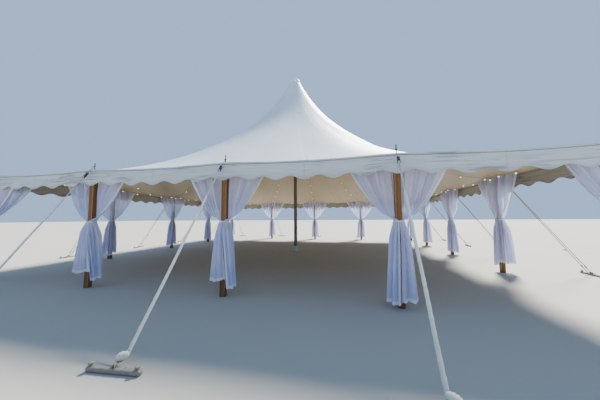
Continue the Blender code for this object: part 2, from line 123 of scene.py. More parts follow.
# %% Wires
def sums(operation, turned=False):
    """A method that puts its values into a Math node, its own wire first or last."""
    def method(wire, *others):
        return wire.maths(operation, *((*others, wire) if turned else (wire, *others)))
    return method


class Wire:
    """An output socket that takes part in Python sums."""

    def __init__(self, tree, socket):
        self.tree, self.socket = tree, socket

    def maths(self, operation, *values):
        return self.tree.node("ShaderNodeMath", {"operation": operation}, values)

    __add__ = __radd__ = sums("ADD")
    __sub__, __rsub__ = sums("SUBTRACT"), sums("SUBTRACT", turned=True)
    __mul__ = __rmul__ = sums("MULTIPLY")
    __truediv__, __lt__ = sums("DIVIDE"), sums("LESS_THAN")
    sine, cosine, size = sums("SINE"), sums("COSINE"), sums("ABSOLUTE")

    def wrap(self, step):
        """What is left over from whole multiples of the step."""
        return self.maths("FLOORED_MODULO", self, step)

    def fold(self, step):
        """Distance to the nearest whole multiple of the step."""
        return self.maths("PINGPONG", self, step / 2)

    def ease(self, low, high):
        """0 below low, 1 above high, and a soft ramp between them."""
        ramp = {"interpolation_type": "SMOOTHSTEP"}
        return self.tree.node("ShaderNodeMapRange", ramp, {"Value": self, "From Min": low, "From Max": high})

    def other(self, name):
        """Another output of the same node."""
        return Wire(self.tree, self.socket.node.outputs[name])

    def part(self, axis):
        """One number out of a vector."""
        return self.tree.node("ShaderNodeSeparateXYZ", None, (self,)).other(axis)


print("wires can be added, multiplied, bent and folded")

# %% Trees
class Tree:
    """A node tree, filled from Python."""

    def __init__(self, tree):
        self.tree = tree

    def node(self, kind, settings=None, values=()):
        """Makes a node: its settings first, then its sockets by place or by name."""
        made = self.tree.nodes.new(kind)
        for name, value in (settings or {}).items():
            setattr(made, name, value)
        free = [socket for socket in made.inputs if socket.enabled]
        named = values.items() if isinstance(values, dict) else enumerate(values)
        for key, value in named:
            socket = free[key] if isinstance(key, int) else next(s for s in free if s.name == key)
            self.feed(socket, value)
        return Wire(self, next((s for s in made.outputs if s.enabled), None))

    def feed(self, socket, value):
        if isinstance(value, Wire):
            self.tree.links.new(value.socket, socket)
        elif isinstance(value, tuple) and socket.type == "RGBA":
            socket.default_value = (*value, 1.0)[:4]
        else:
            socket.default_value = value

    def vector(self, x, y, z):
        return self.node("ShaderNodeCombineXYZ", None, (x, y, z))

    def noise(self, at, scale, detail=3.0, rough=0.5):
        """Smooth noise about 0.5, at a vector or at three numbers."""
        at = at if isinstance(at, Wire) else self.vector(*at)
        values = {"Vector": at, "Scale": scale, "Detail": detail, "Roughness": rough}
        return self.node("ShaderNodeTexNoise", None, values)


print("a tree makes nodes, vectors and noise")

# %% Finishes
class Finish(Tree):
    """A material: one Principled shader, and the nodes that drive it."""

    def __init__(self, name, **settings):
        self.material = bpy.data.materials.new(name)
        self.material.use_nodes = True
        super().__init__(self.material.node_tree)
        self.shader = self.tree.nodes["Principled BSDF"]
        self.set(**settings)

    def set(self, **settings):
        for name, value in settings.items():
            self.feed(self.shader.inputs[name.replace("_", " ")], value)

    def place(self):
        """Object coordinates, which are the tent's own, in metres."""
        return self.node("ShaderNodeTexCoord").other("Object")

    def cloth(self):
        """A piece's own flat coordinates, in metres across and along the cloth."""
        at = self.node("ShaderNodeUVMap", {"uv_map": "cut"})
        return at.part("X"), at.part("Y")

    def attribute(self, name):
        return self.node("ShaderNodeAttribute", {"attribute_name": name}).other("Fac")

    def coats(self, colour, *coats):
        """Lays colours over the first one, each by its own share."""
        for share, coat in coats:
            colour = self.node("ShaderNodeMix", {"data_type": "RGBA"}, (share, colour, coat))
        return colour

    def bump(self, height, depth, strength=1.0):
        """Raises the surface by up to this many metres."""
        wanted = {"Strength": strength, "Distance": depth, "Height": height}
        self.set(Normal=self.node("ShaderNodeBump", None, wanted))

    def glow(self, share, colour):
        """Lets some light through, as thin cloth does."""
        through = self.node("ShaderNodeBsdfTranslucent", None, {"Color": colour})
        shown = Wire(self, self.shader.outputs["BSDF"])
        mixed = self.node("ShaderNodeMixShader", None, (share, shown, through))
        self.feed(self.tree.nodes["Material Output"].inputs["Surface"], mixed)


print("a finish can be coated, raised and lit from behind")

# %% [markdown]
# ## Meshes from rows of points
# Most of the tent is cloth, cord or turned wood, and all of those are rows of points with
# faces between them. One helper joins the rows, keeps flat coordinates for the finishes,
# and gives back a mesh. Others put a mesh in the scene and tie it to the frame.

# %% Rows to meshes
def run_of(points):
    """How far each point of a row lies along it."""
    return np.concatenate([[0.0], np.cumsum(np.linalg.norm(np.diff(points, axis=0), axis=-1))])


def flat_of(across, down):
    """Flat coordinates for a grid, from those of a row and those of a column."""
    return np.stack(np.broadcast_arrays(np.reshape(across, (1, -1)), np.reshape(down, (-1, 1))), axis=-1)


def mark(mesh, name, values):
    """Gives each point of a mesh a number for its finish to read."""
    made = mesh.attributes.new(name, "FLOAT", "POINT")
    made.data.foreach_set("value", np.ravel(values).astype(np.float32))


def woven(name, points, flat=None, round_=False, turn_over=False):
    """A mesh over a grid of points, shaped (rows, columns, 3), with flat coordinates."""
    rows, columns = points.shape[:2]
    steps = columns if round_ else columns - 1
    down, right = np.meshgrid(np.arange(rows - 1), np.arange(steps), indexing="ij")
    a, b = down * columns + right, down * columns + (right + 1) % columns
    order = slice(None, None, -1 if turn_over else 1)
    faces = np.stack([a, b, b + columns, a + columns], axis=-1).reshape(-1, 4)[:, order]
    mesh = bpy.data.meshes.new(name)
    mesh.from_pydata(points.reshape(-1, 3).tolist(), [], faces.tolist())
    if flat is not None:
        if round_:
            first = flat[:, :1].copy()
            first[..., 0] += 2 * flat[:, -1:, 0] - flat[:, -2:-1, 0] - flat[:, :1, 0]
            flat = np.concatenate([flat, first], axis=1)
        corners = np.stack([flat[down, right], flat[down, right + 1], flat[down + 1, right + 1],
                            flat[down + 1, right]], axis=2).reshape(-1, 4, 2)[:, order]
        mesh.uv_layers.new(name="cut").uv.foreach_set("vector", corners.astype(np.float32).ravel())
    mesh.shade_smooth()
    return mesh


print("a grid of points can become cloth")

# %% Pieces
def show(name, mesh, *finishes):
    """Puts a mesh in the scene, with the finishes that its faces name."""
    piece = bpy.data.objects.new(name, mesh)
    bpy.context.scene.collection.objects.link(piece)
    assert not (finishes and mesh.materials), name
    for finish in finishes:
        mesh.materials.append(finish.material)
    return piece


def settle(piece, slot, *nodes):
    """Ties a finished piece to the frame, in the place of the solids it stands for."""
    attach(piece, "root")
    if nodes:
        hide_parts(*nodes)
    return piece


print("meshes can become pieces of the tent")

# %% [markdown]
# ## Floor and light
# The floor is plain and pale. The light is soft, as in a studio, and comes from where it
# does in the photograph: the key stands high behind the tent and to the right, so the
# roof is bright, and the front is lit by a cool, even fill.

# %% Floor
FLOOR_HALF, FLOOR_TOP = 160.0, -0.001
floor_finish = Finish("stage_floor", Roughness=0.9)
clouds = floor_finish.noise(floor_finish.place(), 0.35)
floor_finish.set(Base_Color=floor_finish.coats((0.36, 0.35, 0.33), (clouds, (0.42, 0.41, 0.38))))
corners = np.array([[(x, y, FLOOR_TOP) for x in (-FLOOR_HALF, FLOOR_HALF)]
                    for y in (-FLOOR_HALF, FLOOR_HALF)])
floor = show("stage_floor", woven("stage_floor", corners), floor_finish)
print("the floor is", 2 * FLOOR_HALF, "m wide")

# %% Light
TO_KEY = Vector((0.30, 0.66, 0.69))
world = bpy.data.worlds.new("studio")
bpy.context.scene.world = world
world.use_nodes = True
sky = world.node_tree.nodes["Background"]
sky.inputs["Color"].default_value = (0.46, 0.67, 1.0, 1.0)
sky.inputs["Strength"].default_value = 0.95
key = bpy.data.lights.new("key", "SUN")
key.energy = 16.0
key.angle = math.radians(14)
key.color = (1.0, 0.95, 0.86)
lamp = bpy.data.objects.new("key", key)
bpy.context.scene.collection.objects.link(lamp)
lamp.rotation_euler = TO_KEY.to_track_quat("Z", "Y").to_euler()
print("the key light stands", round(math.degrees(math.asin(TO_KEY.normalized().z))), "degrees high")

# %% [markdown]
# ## The roof's cloth
# The roof is coated cloth under tension between a round crown ring and a square edge. A
# flat facet looks wrong at once, so the whole roof is one sheet that runs round the tent:
# each row is round near the crown and opens out to the square late. The cloth dips a
# little between the pole lines, the edge droops between the poles, and short creases run
# out from every pin. The sheet has two faces: the top's white is tinted blue as painted
# shade, and the side that shows from below is painted shade, a dull warm brown.

# %% Edge sag
def edge_sag(along):
    """Droop of the roof's edge: none at a pole, most between two poles."""
    share = np.clip((np.mod(along + HALF, BAY) - SEAT) / (BAY - 2 * SEAT), 0.0, 1.0)
    return SAG * 4 * share * (1 - share)


print("the edge droops", round(float(edge_sag(BAY / 2)), 3), "m")

# %% Roof points
DIP, RIPPLE, CREASE = 0.03, 0.006, 0.006  # depths of the belly between poles, of slack and of a crease


def roof_height(t):
    """Height of the roof at a share of the way from the crown to the band."""
    least = math.exp(-CURVE_RATE)
    gathered = (np.exp(-CURVE_RATE * t) - least) / (1 - least)
    return BAND_TOP + (CROWN - BAND_TOP) * (STRAIGHT * (1 - t) + (1 - STRAIGHT) * gathered)


def pin_creases(x, y):
    """Height of the short creases that run out from the pins of one side."""
    rise = np.zeros_like(x)
    for number in range(BAYS + 1):
        dx, dy = x - (number * BAY - HALF), y + HALF
        far = np.hypot(dx, dy)
        fade = np.exp(-far / 0.42) * np.clip(far / 0.12, 0, 1)
        rise += CREASE * fade * np.cos(9 * np.arctan2(dx, dy) + number)
    return rise


def roof_side(share, t, beyond):
    """Points of the front panel at shares across it, -1 to 1, on one row."""
    turn = np.arctan(share)
    ring = CROWN_RADIUS + (BAND - CROWN_RADIUS) * t
    radius = ring * (1 + t ** SQUARE_RATE * (1 / np.cos(turn) - 1))
    x, y = radius * np.sin(turn), -radius * np.cos(turn)
    z = roof_height(t) - edge_sag(share * EDGE) * t ** SQUARE_RATE
    dip = DIP * np.sin(math.pi * 2 * share) ** 2 * 6.75 * t ** 2 * (1 - t)
    ripple = RIPPLE * np.sin(5.1 * x + 1.7 * y) * np.sin(2.3 * y - 0.8 * x + 1.0) * t * (1 - t ** 6)
    if beyond:
        out = BAND + (EDGE - BAND) * beyond
        x, y, z = share * out, np.full_like(x, -out), z - BAND_SLOPE * (out - BAND)
    return np.stack([x, y, z - dip + ripple + pin_creases(x, y) * (1 - beyond)], axis=-1)


print("the roof is", round(float(roof_height(0.5)), 2), "m high halfway up the slope")

# %% Roof sheet
ACROSS, DOWN = 88, 58
shares = np.linspace(-1, 1, ACROSS + 1)[:-1]
steps = (1 - np.cos(np.linspace(0, math.pi, DOWN + 1))) / 2
rows = [roof_side(shares, t, 0.0) for t in steps] + [roof_side(shares, 1.0, s) for s in (0.35, 0.7, 1.0)]
front = np.stack(rows)
roof_top = np.concatenate([front @ np.array(quarter(-turns, 3)) for turns in range(4)], axis=1)
slope = run_of(front[:, ACROSS // 2])
around = np.concatenate([(shares + 1 + 2 * turns) * HALF for turns in range(4)])
roof_flat = flat_of(around, slope)
print("down the slope it is", round(float(slope[-1]), 2), "m of cloth")

# %% [markdown]
# ### Roof vinyl
# Coated cloth is sold about a metre and a half wide, so the roof is made of gores with a
# welded overlap between them, two to a bay. The weld is a hair lower in gloss and holds
# dust. Rain leaves faint streaks down the slope.

# %% Vinyl finish
GORE = BAY / 2


def vinyl(name, clean, soiled, seam, glow, through):
    """Coated cloth with a welded seam at every gore of its flat coordinates."""
    finish = Finish(name, Roughness=0.42, Specular_IOR_Level=0.4)
    at = finish.place()
    across, down = finish.cloth()
    streaks = finish.noise((across * 2.6, down * 0.22, 0.0), 1.6, 4.0).ease(0.46, 0.74)
    clouds = finish.noise(at, 0.55, 4.0, 0.6).ease(0.4, 0.75)
    welds = (across + 0.012).fold(GORE)
    lap = 1 - welds.ease(0.017, 0.024)
    line = 1 - welds.ease(0.002, 0.006)
    colour = finish.coats(clean, (streaks * 0.45 + clouds * 0.4, soiled), (lap * 0.45, seam),
                          (line * 0.35, tuple(0.55 * c for c in seam)))
    weave = finish.noise(at, 900.0, 1.0)
    creases = finish.noise((across * 1.3, down * 3.5, at.part("Z") * 0.5), 1.1, 4.0, 0.55)
    finish.set(Base_Color=colour, Roughness=streaks * 0.12 + lap * 0.1 + weave * 0.04 + 0.36)
    finish.bump(creases * 0.75 + lap * 0.16 - line * 0.1 + weave * 0.02, 0.012, 0.7)
    finish.glow(through, glow)
    return finish


# painted blue shade: the top's clean, soiled and seam colours are white tinted blue, standing for the sky's
# shade on the cloth
roof_vinyl = vinyl("roof_vinyl", (0.82, 0.90, 0.98), (0.66, 0.74, 0.83), (0.72, 0.80, 0.88),
                   (0.90, 0.88, 0.80), 0.18)
# painted shade: the roof's underside is the same white cloth, coloured dull warm brown and lit through in
# orange to stand for the shade under the roof
roof_underside_shade = vinyl("roof_underside_shade", (0.40, 0.335, 0.240), (0.32, 0.265, 0.185), (0.28, 0.235, 0.165),
                    (0.85, 0.68, 0.42), 0.12)
print("two faces of one cloth")

# %% Joining and measuring
def joined(name, parts):
    """One mesh from several, each with the number of its finish."""
    shape = bmesh.new()
    for part, slot in parts:
        part.polygons.foreach_set("material_index", [slot] * len(part.polygons))
        shape.from_mesh(part)
    mesh = bpy.data.meshes.new(name)
    shape.to_mesh(mesh)
    shape.free()
    mesh.set_sharp_from_angle(angle=math.radians(38))
    return mesh


def merged(mesh, distance, outwards=True):
    """Joins the points that meet, and gives the number of edges that are still open."""
    shape = bmesh.new()
    shape.from_mesh(mesh)
    bmesh.ops.remove_doubles(shape, verts=shape.verts, dist=distance)
    if outwards:
        bmesh.ops.recalc_face_normals(shape, faces=shape.faces)
    open_edges = sum(edge.is_boundary for edge in shape.edges)
    shape.to_mesh(mesh)
    shape.free()
    return open_edges


def facets(mesh):
    """How many triangles a mesh has."""
    return sum(len(face.vertices) - 2 for face in mesh.polygons)


def skin_of(mesh):
    """The surface of a mesh in square metres, both of its faces together."""
    return sum(face.area for face in mesh.polygons)


print("meshes can be joined, and their points and surface counted")

# %% Canopy
def shell(name, points, flat, thickness):
    """A thin closed shell: the rows, the same rows lower down, and a rim at each end."""
    low = points - np.array([0.0, 0.0, thickness])
    top_mesh = woven(name, points, flat, round_=True)
    low_mesh = woven(name, low, flat, round_=True, turn_over=True)
    edge = woven(name, np.stack([points[-1], low[-1]]), np.stack([flat[-1], flat[-1]]), round_=True)
    ring = woven(name, np.stack([low[0], points[0]]), np.stack([flat[0], flat[0]]), round_=True)
    return joined(name, [(top_mesh, 0), (low_mesh, 1), (edge, 0), (ring, 0)])


cloth = shell("canopy", roof_top[:, ::-1], roof_flat[:, ::-1], VINYL)
canopy = show("canopy", cloth, roof_vinyl, roof_underside_shade)
print("canopy:", facets(canopy.data), "triangles")

# %% Close the canopy
print("open edges left on the canopy:", merged(canopy.data, 1e-5, outwards=False))
cloth_area = skin_of(canopy.data) / 2
print("the cloth is", round(cloth_area, 1), "square metres")
settle(canopy, "roof_vinyl", *("roof_" + side for side in SIDES))

# %% [markdown]
# ## Geometry Nodes for what follows a rule
# A scallop, a row of bolts or a string of bulbs follows a rule, so a node tree makes it:
# change one input and the whole row follows. The tree is run once, its result becomes a
# plain mesh, and the tree is taken off again, since the frame wants finished meshes.

# %% Geometry trees
class Growth(Tree):
    """A Geometry Nodes tree."""

    def geo(self, kind, settings=None, **values):
        """Makes a geometry node, with its sockets by name."""
        named = {name.replace("_", " "): value for name, value in values.items()}
        return self.node("GeometryNode" + kind, settings, named)

    def gather(self, *parts):
        """Joins geometry and makes its instances real."""
        join = self.tree.nodes.new("GeometryNodeJoinGeometry")
        for part in parts:
            self.tree.links.new(part.socket, join.inputs[0])
        return self.geo("RealizeInstances", Geometry=Wire(self, join.outputs[0]))

    def dressed(self, shape, finish):
        return self.geo("SetMaterial", Geometry=shape, Material=finish)

    def lifted(self, shape, height):
        return self.geo("Transform", Geometry=shape, Translation=(0.0, 0.0, height))

    def kept(self, shape, name, value, kind="FLOAT", domain="POINT"):
        """Keeps a value on the geometry, for its finish to read."""
        settings = {"data_type": kind, "domain": domain}
        return self.geo("StoreNamedAttribute", settings, Geometry=shape, Name=name, Value=value)


print("a geometry tree can gather, lift and dress shapes")

# %% Growing a mesh
def grown(name, build, base=None, **inputs):
    """A piece with a Geometry Nodes tree on it. Inputs are numbers or finishes."""
    group = bpy.data.node_groups.new(name, "GeometryNodeTree")
    kinds = {int: "NodeSocketInt", float: "NodeSocketFloat", Finish: "NodeSocketMaterial"}
    for way in ("INPUT", "OUTPUT"):
        group.interface.new_socket("Geometry", in_out=way, socket_type="NodeSocketGeometry")
    sockets = {label: group.interface.new_socket(label, in_out="INPUT", socket_type=kinds[type(value)])
               for label, value in inputs.items()}
    tree = Growth(group)
    tree.node("NodeGroupOutput", None, (build(tree, tree.node("NodeGroupInput").other),))
    piece = show(name, base or bpy.data.meshes.new(name))
    step = piece.modifiers.new("grown", "NODES")
    step.node_group = group
    for label, socket in sockets.items():
        value = inputs[label]
        step[socket.identifier] = value.material if isinstance(value, Finish) else value
    return piece


def baked(piece):
    """Works a piece's modifiers into its mesh, and takes them off."""
    seen = piece.evaluated_get(bpy.context.evaluated_depsgraph_get())
    mesh = bpy.data.meshes.new_from_object(seen)
    piece.modifiers.clear()
    old, piece.data = piece.data, mesh
    mesh.name = old.name
    bpy.data.meshes.remove(old)
    return piece


print("trees can grow meshes, and come off again")

# %% [markdown]
# ## Valances
# A valance is a strip of cloth that hangs from the edge: twenty-four scallops on a side,
# six to a bay, with a bound hem and a doubled top. Cloth, hem and top share one rule for
# their height, so they are three grids in one tree. The strip billows a little, and
# because it travels rolled up in a bag, its creases lie along it.

# %% Valance finish
def strip_vinyl(name, clean, soiled, through):
    """The valance's cloth: long creases with painted shade, a stitched hem, and a seam under its top, part
    seam and part painted shade.
    """
    finish = Finish(name, Specular_IOR_Level=0.4)
    along, down = finish.cloth()
    hem = finish.attribute("above_hem")
    stain = finish.noise((along * 0.8, down * 3.0, 0.0), 1.7, 5.0, 0.6).ease(0.42, 0.78)
    damp = 1 - hem.ease(0.0, 0.09)
    stitch = (1 - (hem - 0.019).size().ease(0.0008, 0.0022)) * (along.fold(0.008) < 0.0027)
    # the seam under the top: a groove, and a dark line that is part real seam and part painted shade
    top_seam_and_shade = 1 - (down - 0.028).size().ease(0.003, 0.009)
    weld = 1 - along.fold(GORE).ease(0.003, 0.012)
    crease = finish.noise((along * 0.55, down * 11.0, 0.0), 1.3, 3.0, 0.55)
    slant = finish.noise((along * 2.2 + down * 2.0, down * 5.0, 4.0), 1.0, 3.0)
    some = finish.noise((along * 1.1, down * 3.0, 9.0), 1.0, 2.0).ease(0.42, 0.62)
    # painted shade: thin dark lines along some of the creases
    crease_shade = (1 - (crease - 0.5).size().ease(0.004, 0.035)) * some
    colour = finish.coats(clean, (stain * 0.55 + damp * 0.22, soiled),
                          (top_seam_and_shade * 0.7 + weld * 0.25, (0.30, 0.31, 0.32)),
                          (stitch * 0.5, (0.93, 0.94, 0.95)), (crease_shade * 0.55, tuple(0.62 * c for c in soiled)))
    finish.set(Base_Color=colour, Roughness=stain * 0.15 + 0.4)
    finish.bump(crease * 0.7 + slant * 0.3 - crease_shade * 0.12 - top_seam_and_shade * 0.12 - stitch * 0.05, 0.08)
    finish.glow(through, clean)
    return finish


# painted shade: the valance is the roof's white cloth, coloured greyer and bluer to stand for the shade it
# hangs in
valance_vinyl = strip_vinyl("valance_vinyl", (0.72, 0.77, 0.82), (0.55, 0.60, 0.64), 0.16)
# painted shade: the valance's back, the same cloth coloured dull brown-grey to stand for the shade inside the
# tent
valance_back_shade = strip_vinyl("valance_back_shade", (0.42, 0.39, 0.33), (0.31, 0.28, 0.23), 0.05)
# its greyer colour is painted shade, and so is the colour of its back
print("the valance has its own, greyer cloth, with a shaded back")

# %% Valance tree
BILLOW, LONG_CREASE = 0.11, 0.012  # how far the strip blows out, and how deep its creases are


def valance_tree(tree, given):
    """A scalloped strip, its bound hem and its doubled top, as three grids."""
    at = tree.geo("InputPosition")
    along, share = at.part("X"), 0.5 - at.part("Y")
    bay = (along + HALF + BAY).wrap(given("Bay"))
    free = tree.node("ShaderNodeMath", {"operation": "DIVIDE", "use_clamp": True},
                     (bay - SEAT, given("Bay") - 2 * SEAT))
    sag = free * (1 - free) * given("Sag") * 4
    wave = 1 - (along * 2 * math.pi / given("Scallop")).cosine()
    depth = given("Depth") - wave * given("Rise") / 2
    calm = 1 - (along.size() / given("Length")).ease(0.46, 0.5)

    def strip(rows, start, end, proud):
        grid = tree.geo("MeshGrid", Size_X=given("Length"), Size_Y=1.0, Vertices_X=given("Columns"),
                        Vertices_Y=rows)
        down = start + (end - start) * share
        hang = (down / given("Depth")).ease(0.1, 1.0)
        billow = tree.noise((along * 0.75, down * 1.2, 3.0), 1.0, 1.0) - 0.45
        crease = tree.noise((along * 0.9, down * 9.0, 7.0), 1.4, 2.0) - 0.5
        out = given("Out") + (billow * hang * BILLOW + crease * LONG_CREASE) * calm + proud
        flat = tree.kept(grid, "cut", tree.vector(along + HALF, down, 0.0), "FLOAT2", "CORNER")
        marked = tree.kept(flat, "above_hem", depth - down)
        place = tree.vector(along, 0 - out, EAVE - sag - down)
        return tree.geo("SetPosition", Geometry=marked, Position=place)

    cloth, top = strip(15, 0.0, depth, 0.0), strip(4, -0.004, 0.03, 0.0022)
    hem = strip(3, depth - 0.022, depth + 0.002, 0.0016)
    return tree.dressed(tree.gather(cloth, hem, top), given("Finish"))


print("one rule, three strips")

# %% Four valances
OUT, CUT_DEPTH = EDGE + 0.0026, 0.39  # where the strip hangs, and its depth before it is hemmed
SCALLOPS, STEPS = 6, 14               # scallops in a bay, and steps along each


def thickened(piece, thickness, offset):
    """Gives a sheet its thickness: 0 to both sides, -1 inwards."""
    wall = piece.modifiers.new("wall", "SOLIDIFY")
    wall.thickness, wall.offset = thickness, offset
    return baked(piece)


def moved(mesh, matrix):
    """A copy of a mesh with its place worked in."""
    copy = mesh.copy()
    copy.transform(matrix)
    return copy


strip = grown("valance", valance_tree, Length=2 * OUT, Columns=BAYS * SCALLOPS * STEPS + 1, Bay=BAY, Sag=SAG,
              Scallop=BAY / SCALLOPS, Depth=0.33, Rise=0.07, Out=OUT, Finish=valance_vinyl)
thickened(strip, VINYL, 0.0)
# the faces that look into the tent get the painted shade finish
strip.data.materials.append(valance_back_shade.material)
back_shade_slot = len(strip.data.materials) - 1
for face in strip.data.polygons:
    if face.normal.y > 0.3:
        face.material_index = back_shade_slot
cloth_area = skin_of(strip.data) / 2
print("a valance has", facets(strip.data), "triangles, and", round(cloth_area, 2), "square metres of cloth")
for turns, side in enumerate(SIDES):
    turned = moved(strip.data, quarter(turns))
    valance = settle(show("valance_cloth_" + side, turned), "valance_vinyl", "valance_" + side)
bpy.data.objects.remove(strip)

# %% [markdown]
# ## Turned and sawn shapes
# The crown, the mast's fittings and the stakes are turned: a profile goes round an axis.
# Ropes, straps and sleeves are hoses: a ring follows a line. Plates and bars are sawn
# blocks with their edges eased, because a real edge always catches a little light.

# %% Turning
def turns_of(sides):
    """The angles of points spaced evenly round a circle."""
    return np.arange(sides) * 2 * math.pi / sides


def lathe(name, profile, sides, at=(0.0, 0.0, 0.0)):
    """A shape turned from a closed or pole-to-pole profile of (radius, height) points."""
    profile, turns = np.array(profile, float), turns_of(sides)
    radii, heights = profile[:, :1], np.repeat(profile[:, 1:], sides, axis=1)
    points = np.stack([radii * np.cos(turns), radii * np.sin(turns), heights], axis=-1) + np.array(at)
    mesh = woven(name, points, flat_of(turns * radii.max(), run_of(profile)), round_=True)
    merged(mesh, 1e-6)
    return mesh


print("a profile can be turned")

# %% Following a line
def hose(name, path, radii, sides, squash=1.0, capped=True):
    """A round or flattened hose along a path, with coordinates round it and along it."""
    path, turns = np.array(path, float), turns_of(sides)
    radii = np.broadcast_to(np.array(radii, float), (len(path),))
    ahead = np.gradient(path, axis=0)
    ahead /= np.linalg.norm(ahead, axis=1, keepdims=True)
    side = np.cross(ahead[0], (0.0, 0.0, 1.0))
    if np.linalg.norm(side) < 1e-3:
        side = np.array([1.0, 0.0, 0.0])
    sideways = []
    for step in ahead:
        side = side - step * float(side @ step)
        side = side / np.linalg.norm(side)
        sideways.append(side)
    sideways = np.array(sideways)[:, None]
    over = squash * np.cross(sideways, ahead[:, None])
    ring = np.cos(turns)[:, None] * sideways + np.sin(turns)[:, None] * over
    points, flat = path[:, None] + radii[:, None, None] * ring, flat_of(turns * radii.max(), run_of(path))
    if capped:
        start, end = (np.repeat(place, sides, 1) for place in (path[:1, None], path[-1:, None]))
        points = np.concatenate([start, points, end])
        flat = np.concatenate([flat[:1], flat, flat[-1:]])
    mesh = woven(name, points, flat, round_=True)
    merged(mesh, 1e-6)
    return mesh


print("a ring can follow a line")

# %% Sawing
def slab(name, centre, size, ease, segments=2):
    """A block with eased edges."""
    shape = bmesh.new()
    bmesh.ops.create_cube(shape, size=1.0)
    bmesh.ops.scale(shape, vec=size, verts=shape.verts)
    bmesh.ops.bevel(shape, geom=shape.edges[:], offset=ease, segments=segments, profile=0.6, affect="EDGES")
    mesh = bpy.data.meshes.new(name)
    shape.to_mesh(mesh)
    shape.free()
    mesh.transform(Matrix.Translation(centre))
    mesh.shade_smooth()
    mesh.set_sharp_from_angle(angle=math.radians(35))
    return mesh


print("a block can be sawn and eased")

# %% [markdown]
# ### Steel
# Galvanised steel is dull grey with a crystal pattern, a little white bloom, and rust
# where the zinc has gone, most of it low down, where it stays damp.

# %% Steel finish
def steel(name, light, dark, rust_share, shine=0.42, metal=1.0):
    """Steel under zinc or paint: crystals, white bloom and rust."""
    finish = Finish(name)
    at = finish.place()
    crystals = finish.node("ShaderNodeTexVoronoi", {"feature": "F1"}, {"Vector": at, "Scale": 90.0})
    tint = finish.node("ShaderNodeSeparateColor", None, (crystals.other("Color"),))
    bloom = finish.noise(at, 14.0, 4.0, 0.6)
    low = 1 - at.part("Z").ease(0.02, 0.3)
    rust = (finish.noise(at, 38.0, 5.0, 0.65) + low * 0.12).ease(0.72 - rust_share, 0.82 - rust_share)
    colour = finish.coats(dark, (tint * 0.35 + bloom * 0.5, light), (rust, (0.22, 0.10, 0.045)))
    finish.set(Base_Color=colour, Metallic=(1 - rust * 0.85 - bloom * 0.2) * metal,
               Roughness=rust * 0.35 + bloom * 0.2 + shine - 0.1)
    finish.bump(bloom * 0.4 + rust * 0.4, 0.0015)
    return finish


galvanised = steel("galvanised_steel", (0.60, 0.61, 0.62), (0.34, 0.35, 0.36), 0.10)
black_steel = steel("black_steel", (0.10, 0.10, 0.11), (0.035, 0.035, 0.04), 0.06, 0.5)
print("galvanised and black steel")

# %% [markdown]
# ## Crown
# The four roof panels are clamped to a steel ring, which the mast carries on a hub. A
# domed cap of the roof's cloth keeps the rain out. The bolts round the rim follow a
# rule, so a small tree sets them on a circle.

# %% Crown ring
RIM, RIM_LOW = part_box("crown_ring")[1].x, CROWN - 0.06
RIM_SHAPE = ((-0.012, 0.004), (-0.009, 0.0), (-0.003, 0.0), (0.0, 0.004), (0.0, 0.056), (-0.003, 0.06),
             (-0.009, 0.06), (-0.012, 0.056), (-0.012, 0.004))
HUB_SHAPE = ((0.019, 0.0), (0.076, 0.0), (0.08, 0.004), (0.08, 0.011), (0.076, 0.015), (0.034, 0.015),
             (0.031, 0.036), (0.019, 0.036), (0.019, 0.0))
parts = [(lathe("rim", [(RIM + out, up) for out, up in RIM_SHAPE], 72, (0.0, 0.0, RIM_LOW)), 0),
         (lathe("hub", HUB_SHAPE, 40, (0.0, 0.0, RIM_LOW)), 0)]
for turns in range(4):
    for name, up, size, ease in (("spoke", 0.0075, (RIM - 0.078, 0.04, 0.015), 0.003),
                                 ("rib", 0.026, (RIM - 0.084, 0.008, 0.026), 0.0015)):
        bar = slab(name, ((RIM + 0.058) / 2, 0.0, RIM_LOW + up), size, ease)
        parts.append((moved(bar, quarter(turns)), 0))


def bolt_tree(tree, given):
    """Bolt heads and washers on a circle, for the band that clamps the cloth."""
    ring = tree.geo("MeshCircle", {"fill_type": "NONE"}, Vertices=given("Bolts"), Radius=given("Circle"))
    head = tree.geo("MeshCylinder", Vertices=6, Radius=0.009, Depth=0.007)
    washer = tree.geo("MeshCylinder", Vertices=14, Radius=0.013, Depth=0.003)
    bolt = tree.gather(tree.lifted(head, -0.0045), washer)
    placed = tree.geo("InstanceOnPoints", Points=ring, Instance=bolt)
    return tree.dressed(tree.gather(tree.lifted(placed, RIM_LOW - 0.001)), given("Finish"))


bolts = baked(grown("bolts", bolt_tree, Bolts=16, Circle=RIM - 0.014, Finish=galvanised))
mesh = joined("crown_ring_steel", [*parts, (bolts.data, 0)])
ring = settle(show("crown_ring_steel", mesh, galvanised), "galvanised_steel", "crown_ring")
bpy.data.objects.remove(bolts)
print("crown ring:", facets(ring.data), "triangles")

# %% Peak cap
CAP_ROWS, CAP_SIDES, CAP_RADIUS, CAP_RISE = 22, 96, 0.228, 0.2


def cap_points():
    """The dome: eight gores that puff a little, and a hem drawn in under the ring."""
    turns = turns_of(CAP_SIDES)
    points = []
    for rise in np.arange(CAP_ROWS + 1) / CAP_ROWS:
        angle = math.pi / 2 * rise
        puff = 1 + 0.018 * math.sin(math.pi * min(1.0, 1.3 * rise)) * np.abs(np.sin(4 * turns)) ** 0.7
        pleats = 1 + 0.012 * (1 - rise) ** 6 * np.cos(40 * turns)
        radius = CAP_RADIUS * math.cos(angle) ** 0.82 * puff * pleats if rise < 1 else np.zeros(CAP_SIDES)
        height = CROWN + 0.012 + CAP_RISE * math.sin(angle) + 0.002 * np.sin(3 * turns + 1) * math.cos(angle)
        points.append(np.stack([radius * np.cos(turns), radius * np.sin(turns), height], axis=-1))
    skirt = points[0] * np.array([1.006, 1.006, 1.0]) - np.array([0, 0, 0.03])
    return np.stack([skirt, *points])


